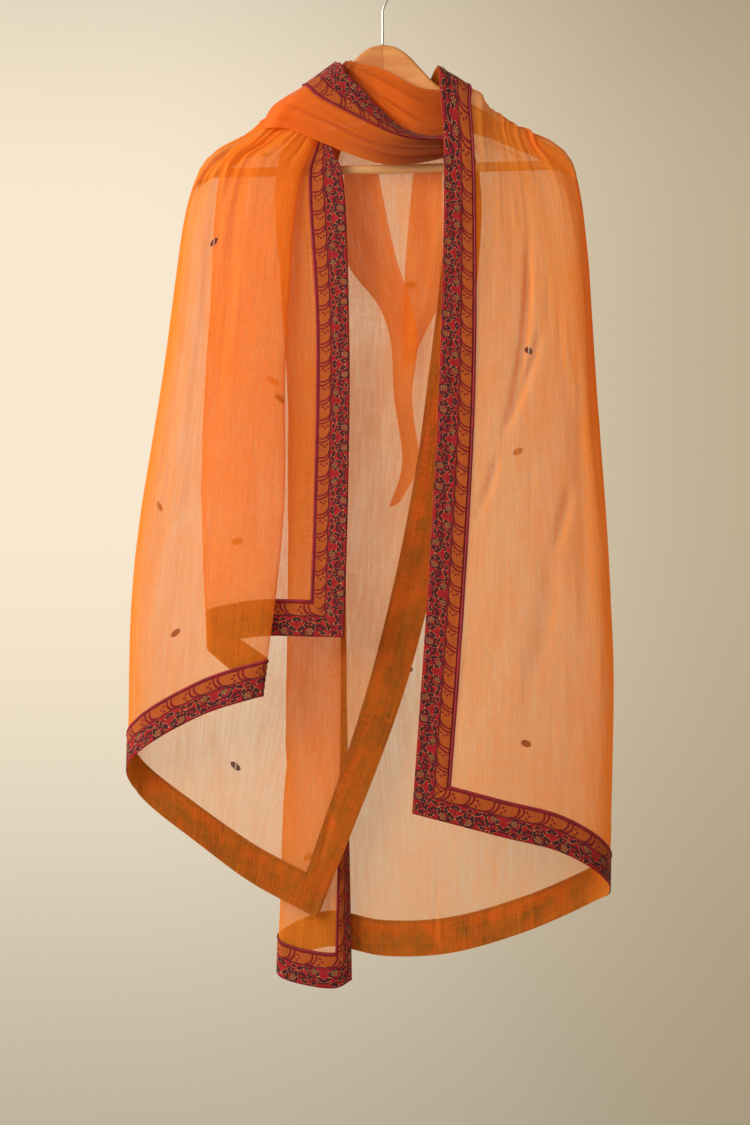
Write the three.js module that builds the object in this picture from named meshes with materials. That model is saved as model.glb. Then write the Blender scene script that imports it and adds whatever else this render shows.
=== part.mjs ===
// A printed dupatta stole of sheer crepe, wound once round the neck of a wooden hanger, its two ends
// hanging at the left and the right. Millimetres, +Z up, the front of the stole faces -Y. The origin is
// the inside top of the steel hook, so every height is written as a drop below that point.
//
// The cloth is faced with a printed border, 40 mm wide, along every edge, with a thin piping between the
// border and the sheer ground. Each stretch of cloth that shows is a wall lofted through fold lines: a
// fold line runs down the cloth from the neck to the hem, and a row of a table places one of them.

import * as THREE from 'three';

// ---------------------------------------------------------------- driving sizes

const CLOTH_WALL = 1.2;
const BORDER_WALL = 1.0;
const SEAM_GAP = 0.3;
const BORDER_WIDTH = 40;
const PIPING_WIDTH = 2.6;
const TRIM_GAP = 0.5;
const EDGE_BAND = BORDER_WIDTH + TRIM_GAP + PIPING_WIDTH;

const WOOD_DROP = 95;
const WOOD_THICKNESS = 12;
const WOOD_CORNER = 5;
const ARM_REACH = 221;
const WOOD_SEAM = 0.15;
const HANGER_TILT = THREE.MathUtils.degToRad(1.34);
const CLOTH_OFF_WOOD = 4.4;
const WRAP_OFF_WOOD = 11.5;

const BAR_RADIUS = 5.5;
const BAR_DROP = 147;

const WIRE_RADIUS = 1.6;
const CROOK_RADIUS = 19.6;
const CROOK_START = THREE.MathUtils.degToRad(-62);
const CROOK_END = THREE.MathUtils.degToRad(205);

// ---------------------------------------------------------------- finishes

const sheerCrepe = () => new THREE.MeshStandardMaterial({ color: 0xe8823c, roughness: 0.75, metalness: 0 });
const printedCotton = () => new THREE.MeshStandardMaterial({ color: 0x9c2430, roughness: 0.8, metalness: 0 });
const maroonPiping = () => new THREE.MeshStandardMaterial({ color: 0x7c1230, roughness: 0.7, metalness: 0 });
const honeyWood = () => new THREE.MeshStandardMaterial({ color: 0xd38a46, roughness: 0.45, metalness: 0 });
const paleWood = () => new THREE.MeshStandardMaterial({ color: 0xe0b482, roughness: 0.5, metalness: 0 });
const steelWire = () => new THREE.MeshStandardMaterial({ color: 0xb9bcc0, roughness: 0.25, metalness: 1 });

// ---------------------------------------------------------------- hanger outline

// Half of the hanger before it tips: how far each point is from the middle and below the wood's top.
const armTop = [
  { out: 0, drop: 0 },
  { out: 16, drop: 3 },
  { out: 30, drop: 13 },
  { out: 45, drop: 30 },
  { out: 58, drop: 45 },
  { out: 74, drop: 56 },
  { out: 100, drop: 70 },
  { out: 147, drop: 101 },
  { out: 192, drop: 121 },
  { out: 208, drop: 132 },
  { out: 217, drop: 145 },
  { out: 221, drop: 158 },
];
const armBottom = [
  { out: 217, drop: 160 },
  { out: 205, drop: 153 },
  { out: 186, drop: 141 },
  { out: 153, drop: 126 },
  { out: 125, drop: 114 },
  { out: 80, drop: 99 },
  { out: 40, drop: 89 },
  { out: 0, drop: 86 },
];

// Straight-line reading of an outline at a distance from the middle.
function readOutline(outline, out) {
  const rising = outline[0].out < outline[1].out ? outline : [...outline].reverse();
  const last = rising.length - 1;
  let at = 0;
  while (at < last - 1 && rising[at + 1].out < out) at += 1;
  const near = rising[at];
  const far = rising[at + 1];
  const share = THREE.MathUtils.clamp((out - near.out) / (far.out - near.out), 0, 1);
  return THREE.MathUtils.lerp(near.drop, far.drop, share);
}

// An outline moved outwards, away from the wood, by the same distance everywhere.
function grownOutline(outline, distance) {
  return outline.map((spot, at) => {
    const near = outline[Math.max(at - 1, 0)];
    const far = outline[Math.min(at + 1, outline.length - 1)];
    const length = Math.hypot(far.out - near.out, far.drop - near.drop);
    return {
      out: spot.out + (distance * (far.drop - near.drop)) / length,
      drop: spot.drop - (distance * (far.out - near.out)) / length,
    };
  });
}

const clothTop = grownOutline(armTop, CLOTH_OFF_WOOD);
const wrapTop = grownOutline(armTop, WRAP_OFF_WOOD);

// The hanger hangs tipped about the top of its wood: its own places turn into the stole's and back.
const tipAxis = new THREE.Vector3(0, 1, 0);
const tipPivot = new THREE.Vector3(0, 0, -WOOD_DROP);
const tipped = (spot) => spot.clone().applyAxisAngle(tipAxis, -HANGER_TILT).add(tipPivot);
const untipped = (spot) => spot.clone().sub(tipPivot).applyAxisAngle(tipAxis, HANGER_TILT);

// The place on the cloth's rest over the wood that is a given way out along the hanger.
function crestSpot(out, y, lift) {
  return tipped(new THREE.Vector3(out, y, lift - readOutline(clothTop, Math.abs(out))));
}

// ---------------------------------------------------------------- lofting

const point = (place) => new THREE.Vector3(place[0], place[1], -place[2]);

// Moves a spot of cloth out of the wood's clearance: round its upper edge, or straight to its own side.
function clearOfWood(place, outline, clearance) {
  const spot = untipped(place);
  const out = Math.abs(spot.x);
  const reach = WOOD_THICKNESS / 2 + clearance;
  const middle = -readOutline(outline, out) - reach;
  const bottom = -readOutline(armBottom, out) - clearance;
  const away = out > outline[outline.length - 1].out || spot.z < bottom;
  const above = Math.max(spot.z - middle, 0);
  const distance = Math.hypot(spot.y, above);
  if (away || distance > reach) return place;
  spot.y *= reach / distance;
  if (above > 0) spot.z = middle + (above * reach) / distance;
  return tipped(spot);
}

// A fold line's places: neck, crest, just past the crest, shoulder, chest, low and hem. A line that
// passes over the hanger has its crest on the wood, and the next place on the side that it hangs on. A
// line that runs out to the tip of the arm stays on the wood until it gets there.
function foldLine(fold) {
  const neck = point(fold.neck);
  const shoulder = point(fold.shoulder);
  const hem = point(fold.hem);
  const crest = neck.clone().lerp(shoulder, 0.35);
  const past = neck.clone().lerp(shoulder, 0.65);
  if (fold.over) {
    crest.copy(crestSpot(fold.over[0], fold.over[1], fold.lift ?? 0));
    past.lerpVectors(crest, shoulder, 0.3);
    past.y = crest.y + (shoulder.y - crest.y) * 0.6;
  }
  if (fold.tip) past.copy(crestSpot(fold.tip, 0, 0));
  const chest = shoulder.clone().lerp(hem, 1 / 3);
  const low = shoulder.clone().lerp(hem, 2 / 3);
  chest.x = fold.chest[0];
  chest.y = fold.chest[1];
  low.x = fold.low[0];
  low.y = fold.low[1];
  return new THREE.CatmullRomCurve3([neck, crest, past, shoulder, chest, low, hem]);
}

const END_SPANS = 6;

// The surface of a hanging end: across counts fold lines, down counts spans from neck to hem.
function endSurface(folds) {
  const lines = folds.map(foldLine);
  return (across, down) => {
    const row = new THREE.CatmullRomCurve3(lines.map((line) => line.getPoint(down / END_SPANS)));
    return clearOfWood(row.getPoint(across / (lines.length - 1)), clothTop, CLOTH_OFF_WOOD);
  };
}

// Steps across from the fold table: each fold line says how many it takes to the next one.
function stepsAcross(folds) {
  const steps = [];
  folds.slice(0, -1).forEach((fold, index) => {
    for (let step = 0; step < fold.steps; step += 1) steps.push(index + step / fold.steps);
  });
  steps.push(folds.length - 1);
  return steps;
}

// Steps down an end above its hem band, in spans, and the hem band's own steps, in mm above the hem.
const bodySteps = [0, 0.6, 1, 1.2, 1.4, 1.7, 2, 2.5, 3, 3.5, 4, 4.5, 5, 5.4];
const hemSteps = [EDGE_BAND, EDGE_BAND / 2, 0];

// A grid is rows of points, its rows running down the cloth and its columns across it.
function endGrid(folds) {
  const surface = endSurface(folds);
  const across = stepsAcross(folds);
  const hemSpan = across.map((u) => surface(u, END_SPANS - 1).distanceTo(surface(u, END_SPANS)));
  const bodyRows = bodySteps.map((v) => across.map((u) => surface(u, v)));
  const hemRows = hemSteps.map((above) => across.map((u, column) => (
    surface(u, END_SPANS - above / hemSpan[column])
  )));
  return [...bodyRows, ...hemRows];
}

// A short stretch lofted through stations: every station lists the same places across the cloth.
function stationGrid(stations, places, stepsAlong, stepsOver, outline, clearance) {
  const lines = places.map((place) => new THREE.CatmullRomCurve3(stations.map((row) => point(row[place]))));
  const rows = [];
  for (let down = 0; down <= stepsOver; down += 1) {
    const row = [];
    for (let along = 0; along <= stepsAlong; along += 1) {
      const ribs = lines.map((line) => line.getPoint(along / stepsAlong));
      const spot = new THREE.CatmullRomCurve3(ribs).getPoint(down / stepsOver);
      row.push(clearOfWood(spot, outline, clearance));
    }
    rows.push(row);
  }
  return rows;
}

function gridNormals(grid) {
  const lastRow = grid.length - 1;
  const lastColumn = grid[0].length - 1;
  return grid.map((row, i) => row.map((_, j) => {
    const across = grid[i][Math.min(j + 1, lastColumn)].clone().sub(grid[i][Math.max(j - 1, 0)]);
    const down = grid[Math.min(i + 1, lastRow)][j].clone().sub(grid[Math.max(i - 1, 0)][j]);
    return across.cross(down).normalize();
  }));
}

// ---------------------------------------------------------------- walls

// A closed wall of even thickness on a grid, its middle moved out along the grid's normals.
function wallOnGrid(grid, thickness, outward = 0, normals = gridNormals(grid)) {
  const rows = grid.length;
  const columns = grid[0].length;
  const positions = [];
  for (const side of [outward + thickness / 2, outward - thickness / 2]) {
    grid.forEach((row, i) => row.forEach((spot, j) => {
      const moved = spot.clone().addScaledVector(normals[i][j], side);
      positions.push(moved.x, moved.y, moved.z);
    }));
  }
  const index = [];
  const outer = (i, j) => i * columns + j;
  const inner = (i, j) => rows * columns + i * columns + j;
  const quad = (a, b, c, d) => index.push(a, b, c, a, c, d);
  for (let i = 0; i < rows - 1; i += 1) {
    for (let j = 0; j < columns - 1; j += 1) {
      quad(outer(i, j), outer(i, j + 1), outer(i + 1, j + 1), outer(i + 1, j));
      quad(inner(i, j), inner(i + 1, j), inner(i + 1, j + 1), inner(i, j + 1));
    }
    quad(outer(i, 0), outer(i + 1, 0), inner(i + 1, 0), inner(i, 0));
    quad(outer(i + 1, columns - 1), outer(i, columns - 1), inner(i, columns - 1), inner(i + 1, columns - 1));
  }
  for (let j = 0; j < columns - 1; j += 1) {
    quad(outer(0, j + 1), outer(0, j), inner(0, j), inner(0, j + 1));
    quad(outer(rows - 1, j), outer(rows - 1, j + 1), inner(rows - 1, j + 1), inner(rows - 1, j));
  }
  return closedGeometry(positions, index);
}

function closedGeometry(positions, index) {
  const geometry = new THREE.BufferGeometry();
  geometry.setAttribute('position', new THREE.Float32BufferAttribute(positions, 3));
  geometry.setIndex(index);
  if (signedVolume(geometry) < 0) {
    const flipped = [];
    for (let at = 0; at < index.length; at += 3) flipped.push(index[at], index[at + 2], index[at + 1]);
    geometry.setIndex(flipped);
  }
  return geometry;
}

function signedVolume(geometry) {
  const spots = geometry.getAttribute('position');
  const corner = (at) => new THREE.Vector3().fromBufferAttribute(spots, geometry.index.getX(at));
  let volume = 0;
  for (let at = 0; at < geometry.index.count; at += 3) {
    volume += corner(at).dot(corner(at + 1).cross(corner(at + 2))) / 6;
  }
  return volume;
}

// A spot between grid points, at a fractional row and column.
function between(table, row, column) {
  const i = Math.min(Math.floor(row), table.length - 2);
  const j = Math.min(Math.floor(column), table[0].length - 2);
  const upper = table[i][j].clone().lerp(table[i][j + 1], column - j);
  const lower = table[i + 1][j].clone().lerp(table[i + 1][j + 1], column - j);
  return upper.lerp(lower, row - i);
}

const LAID_GAP = 0.5;
const COVER_OUT = CLOTH_WALL / 2 + LAID_GAP + BORDER_WALL / 2;

// A strip that lies on a panel: lines of fractional [row, column] places, each line as long as the rest.
function stripOnGrid(grid, lines, faceSign) {
  const panelNormals = gridNormals(grid);
  const spots = lines.map((line) => line.map(([row, column]) => between(grid, row, column)));
  const normals = lines.map((line) => line.map(([row, column]) => (
    between(panelNormals, row, column).normalize()
  )));
  return wallOnGrid(spots, BORDER_WALL, COVER_OUT * faceSign, normals);
}

// ---------------------------------------------------------------- borders of a hanging end

const MITRE_START = 2.5;
const BACK_TRIM_ROW = 7;

// Border and piping both follow the outer band of the panel, mitred at the two hem corners.
const trims = [
  { name: 'border', from: 0, to: BORDER_WIDTH },
  { name: 'piping', from: BORDER_WIDTH + TRIM_GAP, to: EDGE_BAND },
];

// Distances in from the edge where a trim needs points: its own two sides and the band's steps between.
function trimStops(trim, bandSteps) {
  const own = [];
  for (let step = 1; step < bandSteps; step += 1) own.push((EDGE_BAND * step) / bandSteps);
  return [trim.from, ...own.filter((inFrom) => inFrom > trim.from && inFrom < trim.to), trim.to];
}

// Distances from a corner where the mitre is cut, up to where the trim has its whole width.
function mitreStops(trim) {
  const stops = [MITRE_START, EDGE_BAND / 2, EDGE_BAND].filter((inFrom) => inFrom > trim.from);
  if (trim.from > 0) stops.unshift(trim.from + MITRE_START / 2);
  return stops;
}

// The trim's stops, drawn in to end on the mitre at a distance from the corner.
function mitred(stops, inFrom) {
  const from = stops[0];
  const to = stops[stops.length - 1];
  const reach = Math.min(to, inFrom - SEAM_GAP);
  return stops.map((stop) => from + ((stop - from) * (reach - from)) / (to - from));
}

// A trim along a side edge from a row down: edgeColumn is the panel's outer column, bandColumn the
// band's inner one.
function sideTrim(grid, trim, edgeColumn, bandColumn, firstRow, faceSign) {
  const lastRow = grid.length - 1;
  const bandRows = hemSteps.length - 1;
  const stops = trimStops(trim, Math.abs(bandColumn - edgeColumn));
  const columnAt = (inFrom) => edgeColumn + (bandColumn - edgeColumn) * (inFrom / EDGE_BAND);
  const lines = [];
  for (let row = firstRow; row < lastRow - bandRows; row += 1) {
    lines.push(stops.map((inFrom) => [row, columnAt(inFrom)]));
  }
  for (const above of mitreStops(trim).reverse()) {
    const row = lastRow - bandRows * (above / EDGE_BAND);
    lines.push(mitred(stops, above).map((inFrom) => [row, columnAt(inFrom)]));
  }
  if (bandColumn < edgeColumn) lines.forEach((line) => line.reverse());
  return stripOnGrid(grid, lines, faceSign);
}

// A trim along the hem, from the mitre of the first side to the mitre of the last.
function hemTrim(grid, trim, firstBand, lastBand, faceSign) {
  const lastRow = grid.length - 1;
  const lastColumn = grid[0].length - 1;
  const bandRows = hemSteps.length - 1;
  const stops = trimStops(trim, bandRows);
  const rowAt = (above) => lastRow - bandRows * (above / EDGE_BAND);
  const line = (column, reaches) => reaches.map((above) => [rowAt(above), column]);
  const first = mitreStops(trim).map((inFrom) => (
    line((firstBand * inFrom) / EDGE_BAND, mitred(stops, inFrom))
  ));
  const last = mitreStops(trim).reverse().map((inFrom) => (
    line(lastColumn - ((lastColumn - lastBand) * inFrom) / EDGE_BAND, mitred(stops, inFrom))
  ));
  const middle = [];
  for (let column = firstBand + 1; column < lastBand; column += 1) middle.push(line(column, stops));
  const columns = [...first, ...middle, ...last];
  const rows = stops.map((_, stop) => columns.map((column) => column[stop])).reverse();
  return stripOnGrid(grid, rows, faceSign);
}

// ---------------------------------------------------------------- fold tables

// Places are [x, y, drop] at the neck, shoulder and hem, [x, y] at the chest and low down, and [x, y]
// where the cloth lies over the hanger. The first and last rows are the cloth's two long edges, and the
// rows beside them lie where the border's inner seam runs.
const leftFolds = [
  { fold: 'front edge', neck: [-66, -13, 204], shoulder: [-48, -17, 245], chest: [-39, -19],
    low: [-40, -23], hem: [-45, -27, 794], steps: 2 },
  { fold: 'front seam', neck: [-72, -12, 200], shoulder: [-86, -15, 243], chest: [-78, -17],
    low: [-80, -21], hem: [-86, -26, 793], steps: 1 },
  { fold: 'under pleat', neck: [-80, -11, 194], shoulder: [-124, -13, 238], chest: [-140, -16],
    low: [-146, -20], hem: [-146, -26, 793], steps: 2 },
  { fold: 'inner turn near', neck: [-92, -11, 184], shoulder: [-177, -12, 224], chest: [-199, -16],
    low: [-208, -20], hem: [-202, -26, 804], steps: 1 },
  { fold: 'inner turn', neck: [-94, -13.5, 183], shoulder: [-181, -15, 223], chest: [-203, -20],
    low: [-212, -24.5], hem: [-206, -30.5, 807], steps: 1 },
  { fold: 'inner turn far', neck: [-91, -16, 184], shoulder: [-177, -18, 225], chest: [-199, -24],
    low: [-208, -29], hem: [-201, -35, 812], steps: 1 },
  { fold: 'middle layer', neck: [-84, -16, 190], shoulder: [-140, -18, 236], chest: [-160, -25],
    low: [-166, -30], hem: [-172, -36, 836], steps: 1 },
  { fold: 'outer turn near', neck: [-78, -16, 197], shoulder: [-100, -19, 246], chest: [-118, -26],
    low: [-121, -31], hem: [-144, -37, 858], steps: 1 },
  { fold: 'outer turn', neck: [-76, -18, 199], shoulder: [-96, -22, 247], chest: [-113, -29],
    low: [-116, -34], hem: [-140, -40, 862], steps: 1 },
  { fold: 'outer turn far', neck: [-79, -20, 196], shoulder: [-101, -25, 245], chest: [-118, -32],
    low: [-121, -37.5], hem: [-144, -43, 863], steps: 2 },
  { fold: 'front layer', neck: [-92, -20, 182], shoulder: [-150, -25, 232], chest: [-176, -33],
    low: [-194, -38], hem: [-210, -42, 884], steps: 2 },
  { fold: 'side front', neck: [-106, -13, 168], over: [-158, -12], lift: -6, shoulder: [-206, -13, 250],
    chest: [-243, -22], low: [-274, -26], hem: [-284, -26, 927], steps: 3 },
  { fold: 'side', neck: [-110, -1, 162], over: [-165, 0], tip: -207, shoulder: [-224, 0, 262], chest: [-260, -3],
    low: [-293, -4], hem: [-301, -5, 951], steps: 3 },
  { fold: 'side back', neck: [-104, 11, 164], over: [-152, 12], lift: -6, shoulder: [-206, 12, 244],
    chest: [-243, 15], low: [-274, 17], hem: [-285, 16, 985], steps: 2 },
  { fold: 'back outer', neck: [-96, 11, 162], over: [-124, 12], lift: -8, shoulder: [-152, 13, 214],
    chest: [-172, 18], low: [-194, 22], hem: [-218, 24, 1041], steps: 2 },
  { fold: 'back middle', neck: [-84, 11, 156], shoulder: [-72, 14, 200], chest: [-72, 20],
    low: [-96, 25], hem: [-158, 28, 1086], steps: 2 },
  { fold: 'back seam', neck: [-52, 11, 152], shoulder: [66, 15, 206], chest: [52, 21],
    low: [-6, 26], hem: [-104, 30, 1116], steps: 2 },
  { fold: 'back edge', neck: [-46, 11, 152], shoulder: [106, 15, 218], chest: [94, 22],
    low: [36, 27], hem: [-77, 31, 1130] },
];

const rightFolds = [
  { fold: 'front edge', neck: [42, 27, 168], over: [64, 0], lift: 17, shoulder: [71, -33, 222],
    chest: [66, -36], low: [52, -38], hem: [34, -40, 999], steps: 2 },
  { fold: 'front seam', neck: [48, 27, 170], over: [100, 0], lift: 14, shoulder: [107, -30, 232],
    chest: [108, -34], low: [95, -37], hem: [76, -39, 1010], steps: 2 },
  { fold: 'front inner', neck: [56, 26, 172], over: [134, 0], lift: 3, shoulder: [148, -20, 242],
    chest: [156, -29], low: [152, -34], hem: [140, -37, 1027], steps: 2 },
  { fold: 'front outer', neck: [64, 25, 172], over: [160, 0], shoulder: [186, -15, 250],
    chest: [206, -24], low: [214, -29], hem: [208, -31, 1045], steps: 2 },
  { fold: 'side front', neck: [70, 24, 170], over: [172, -2], lift: -1, shoulder: [214, -13, 254],
    chest: [242, -17], low: [258, -20], hem: [254, -20, 1072], steps: 3 },
  { fold: 'side', neck: [74, 22, 168], over: [180, 0], tip: 210, shoulder: [230, 0, 252],
    chest: [255, 1], low: [272, 3], hem: [268, 5, 1095], steps: 3 },
  { fold: 'side back', neck: [72, 20, 172], over: [170, 12], lift: -7, shoulder: [214, 13, 258],
    chest: [241, 20], low: [257, 26], hem: [250, 28, 1110], steps: 2 },
  { fold: 'back outer', neck: [64, 20, 178], shoulder: [150, 20, 226], chest: [164, 29],
    low: [172, 37], hem: [172, 43, 1147], steps: 2 },
  { fold: 'back middle', neck: [52, 23, 180], shoulder: [76, 31, 214], chest: [74, 43],
    low: [74, 51], hem: [79, 56, 1175], steps: 2 },
  { fold: 'back inner', neck: [38, 22, 178], shoulder: [0, 34, 206], chest: [-8, 52],
    low: [-12, 60], hem: [2, 63, 1179], steps: 2 },
  { fold: 'behind fold', neck: [28, 24, 176], shoulder: [-66, 35, 206], chest: [-68, 53],
    low: [-68, 62], hem: [-66, 64, 1168], steps: 2 },
  { fold: 'left turn near', neck: [22, 26, 174], shoulder: [-108, 30, 208], chest: [-109, 50],
    low: [-111, 58], hem: [-121, 60, 1190], steps: 1 },
  { fold: 'left turn', neck: [20, 28.5, 173], shoulder: [-112, 27, 210], chest: [-113, 45],
    low: [-115, 53], hem: [-126, 55, 1196], steps: 1 },
  { fold: 'left turn far', neck: [22, 31, 172], shoulder: [-108, 24, 211], chest: [-109, 40],
    low: [-111, 47], hem: [-121, 50, 1203], steps: 1 },
  { fold: 'back seam', neck: [26, 33, 172], shoulder: [-64, 24, 212], chest: [-53, 32],
    low: [-50, 37], hem: [-57, 44, 1215], steps: 2 },
  { fold: 'back edge', neck: [36, 37, 166], shoulder: [-48, 31, 212], chest: [-46, 47],
    low: [-44, 55], hem: [-37, 52, 1206] },
];

// ---------------------------------------------------------------- neck tables

// The front wrap, from behind the left arm to the right: each row is a section across the cloth.
const wrapSections = [
  { lower: [-124, 20, 196], belly: [-112, 24, 176], seam: [-82, 22, 150], edge: [-52, 17, 124] },
  { lower: [-140, 14, 196], belly: [-126, 18, 172], seam: [-92, 16, 144], edge: [-58, 14, 120] },
  { lower: [-145, -2, 196], belly: [-130, 0, 168], seam: [-94, 0, 144], edge: [-55, 0, 116] },
  { lower: [-133, -27, 197], belly: [-120, -29, 174], seam: [-88, -21, 150], edge: [-49, -9, 122] },
  { lower: [-112, -27, 198], belly: [-102, -32, 180], seam: [-78, -26, 160], edge: [-40, -14, 133] },
  { lower: [-72, -28, 214], belly: [-62, -36, 196], seam: [-45, -31, 180], edge: [-24, -18, 150] },
  { lower: [-36, -28, 229], belly: [-28, -38, 212], seam: [-12, -33, 197], edge: [-3, -21, 174] },
  { lower: [2, -28, 240], belly: [8, -37, 224], seam: [20, -33, 210], edge: [22, -21, 196] },
  { lower: [36, -25, 239], belly: [42, -31, 226], seam: [48, -29, 214], edge: [50, -20, 206] },
  { lower: [80, -20, 230], belly: [82, -23, 222], seam: [84, -22, 212], edge: [84, -17, 204] },
];

// The under wrap, which crosses the front of the wooden neck, from behind it to the right.
const underSections = [
  { upper: [-42, 14, 122], middle: [-46, 16, 132], lower: [-50, 17, 142] },
  { upper: [-44, 2, 114], middle: [-52, 0, 124], lower: [-58, -1, 135] },
  { upper: [-30, -10, 119], middle: [-32, -11.5, 135], lower: [-34, -10.5, 152] },
  { upper: [-8, -11, 123], middle: [-6, -14, 146], lower: [-4, -12, 172] },
  { upper: [16, -11, 134], middle: [20, -14, 158], lower: [24, -12, 188] },
  { upper: [42, -11, 147], middle: [46, -14, 168], lower: [50, -12, 194] },
  { upper: [78, -10, 151], middle: [80, -12, 170], lower: [82, -10, 192] },
];

// The stretch behind the wooden neck, from the left arm to the right one.
const backSections = [
  { upper: [-106, 21, 172], middle: [-108, 22, 184], lower: [-108, 21, 198] },
  { upper: [-60, 19, 138], middle: [-60, 21, 160], lower: [-60, 20, 188] },
  { upper: [-20, 14, 122], middle: [-18, 18, 150], lower: [-16, 20, 182] },
  { upper: [20, 14, 126], middle: [20, 17, 148], lower: [22, 18, 172] },
  { upper: [66, 13, 150], middle: [70, 14, 160], lower: [74, 14, 172] },
];

// Two loose folds that hang behind the neck and run together into one tail.
const crossFoldSections = [
  { inner: [-46, 20, 240], middle: [-26, 22, 240], outer: [-6, 20, 240] },
  { inner: [-44, 25, 345], middle: [-14, 27, 342], outer: [15, 25, 340] },
  { inner: [-4, 27, 402], middle: [14, 29, 400], outer: [34, 27, 398] },
  { inner: [9, 28, 440], middle: [24, 30, 440], outer: [42, 28, 440] },
  { inner: [14, 30, 510], middle: [24, 33, 510], outer: [35, 31, 510] },
  { inner: [23, 32, 590], middle: [32, 35, 590], outer: [42, 33, 590] },
  { inner: [8, 33, 640], middle: [14, 35, 638], outer: [21, 34, 634] },
];
const hangingFoldSections = [
  { inner: [37, 22, 236], middle: [54, 24, 236], outer: [71, 22, 236] },
  { inner: [28, 31, 340], middle: [50, 33, 340], outer: [71, 31, 340] },
  { inner: [25, 34, 400], middle: [44, 36, 400], outer: [66, 34, 400] },
  { inner: [24, 35, 440], middle: [34, 36.5, 438], outer: [52, 35, 430] },
  { inner: [25, 36, 475], middle: [29, 37, 473], outer: [34, 36, 470] },
];

// ---------------------------------------------------------------- solid makers

// A ring of the arm's section at a distance out: a rectangle with its four corners rounded.
function armRing(out) {
  const top = readOutline(armTop, out);
  const bottom = Math.max(readOutline(armBottom, out), top + 2.2 * WOOD_CORNER);
  const cornerSteps = 3;
  const ring = [];
  for (let corner = 0; corner < 4; corner += 1) {
    const sideY = corner === 0 || corner === 3 ? 1 : -1;
    const middleY = sideY * (WOOD_THICKNESS / 2 - WOOD_CORNER);
    const middleDrop = corner < 2 ? top + WOOD_CORNER : bottom - WOOD_CORNER;
    for (let step = 0; step <= cornerSteps; step += 1) {
      const angle = (Math.PI / 2) * (corner + step / cornerSteps);
      const rise = WOOD_CORNER * Math.sin(angle);
      ring.push(new THREE.Vector3(out, middleY + WOOD_CORNER * Math.cos(angle), rise - middleDrop));
    }
  }
  return ring;
}

// One arm with half of the rounded neck, flat where the two halves meet.
function makeArm() {
  const outs = [WOOD_SEAM];
  for (let out = 6; out < 216; out += 7) outs.push(out);
  outs.push(216, 219, ARM_REACH);
  const rings = outs.map(armRing);
  const around = rings[0].length;
  const positions = rings.flat().flatMap((spot) => [spot.x, spot.y, spot.z]);
  const index = [];
  for (let ring = 0; ring < rings.length - 1; ring += 1) {
    for (let spot = 0; spot < around; spot += 1) {
      const next = (spot + 1) % around;
      const a = ring * around + spot;
      const b = ring * around + next;
      index.push(a, b, b + around, a, b + around, a + around);
    }
  }
  const lastRing = (rings.length - 1) * around;
  for (let spot = 1; spot < around - 1; spot += 1) {
    index.push(0, spot + 1, spot);
    index.push(lastRing, lastRing + spot, lastRing + spot + 1);
  }
  return closedGeometry(positions, index);
}

function mirrored(geometry) {
  const copy = geometry.clone().scale(-1, 1, 1);
  return closedGeometry([...copy.getAttribute('position').array], [...copy.index.array]);
}

// The trouser bar: its two ends are cut along the underside of the arms.
function makeBar() {
  const segments = 20;
  const geometry = new THREE.CylinderGeometry(BAR_RADIUS, BAR_RADIUS, 2, segments, 1);
  geometry.rotateZ(Math.PI / 2);
  const spots = geometry.getAttribute('position');
  const shallow = armBottom[2];
  const deep = armBottom[1];
  const slope = (deep.out - shallow.out) / (deep.drop - shallow.drop);
  for (let at = 0; at < spots.count; at += 1) {
    const drop = BAR_DROP - spots.getZ(at);
    const end = shallow.out + (drop - shallow.drop) * slope - 4 * SEAM_GAP;
    spots.setX(at, Math.sign(spots.getX(at)) * end);
  }
  geometry.translate(0, 0, -BAR_DROP);
  return geometry;
}

// The hook: a straight shank out of the wood and a crook whose inside top is the origin.
function makeHook() {
  const centre = WIRE_RADIUS - CROOK_RADIUS;
  const spots = [];
  const shankTop = centre - CROOK_RADIUS * 1.9;
  for (const height of [-WOOD_DROP + SEAM_GAP + 0.2, -80, -68, shankTop]) {
    spots.push(new THREE.Vector3(0, 0, height));
  }
  const turns = 14;
  for (let turn = 0; turn <= turns; turn += 1) {
    const angle = THREE.MathUtils.lerp(CROOK_START, CROOK_END, turn / turns);
    const across = CROOK_RADIUS * Math.cos(angle);
    spots.push(new THREE.Vector3(across, 0, centre + CROOK_RADIUS * Math.sin(angle)));
  }
  const wire = new THREE.Shape();
  wire.absarc(0, 0, WIRE_RADIUS, 0, 2 * Math.PI);
  return new THREE.ExtrudeGeometry(wire, {
    extrudePath: new THREE.CatmullRomCurve3(spots),
    steps: 64,
    curveSegments: 5,
  });
}

// ---------------------------------------------------------------- assembly

const stole = new THREE.Group();

function addPiece(name, geometry, material, parent = stole) {
  const mesh = new THREE.Mesh(geometry, material);
  mesh.name = name;
  parent.add(mesh);
}

const hanger = new THREE.Group();
hanger.position.set(0, 0, -WOOD_DROP);
hanger.rotation.y = -HANGER_TILT;
stole.add(hanger);

const rightArm = makeArm();
addPiece('hanger_right', rightArm, honeyWood(), hanger);
addPiece('hanger_left', mirrored(rightArm), honeyWood(), hanger);
addPiece('trouser_bar', makeBar(), paleWood(), hanger);
addPiece('hook', makeHook(), steelWire());

// The two ends: a wall, and a border and piping along both sides and the hem.
const ends = [
  { name: 'left', folds: leftFolds, faceSign: 1 },
  { name: 'right', folds: rightFolds, faceSign: -1 },
];

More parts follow.
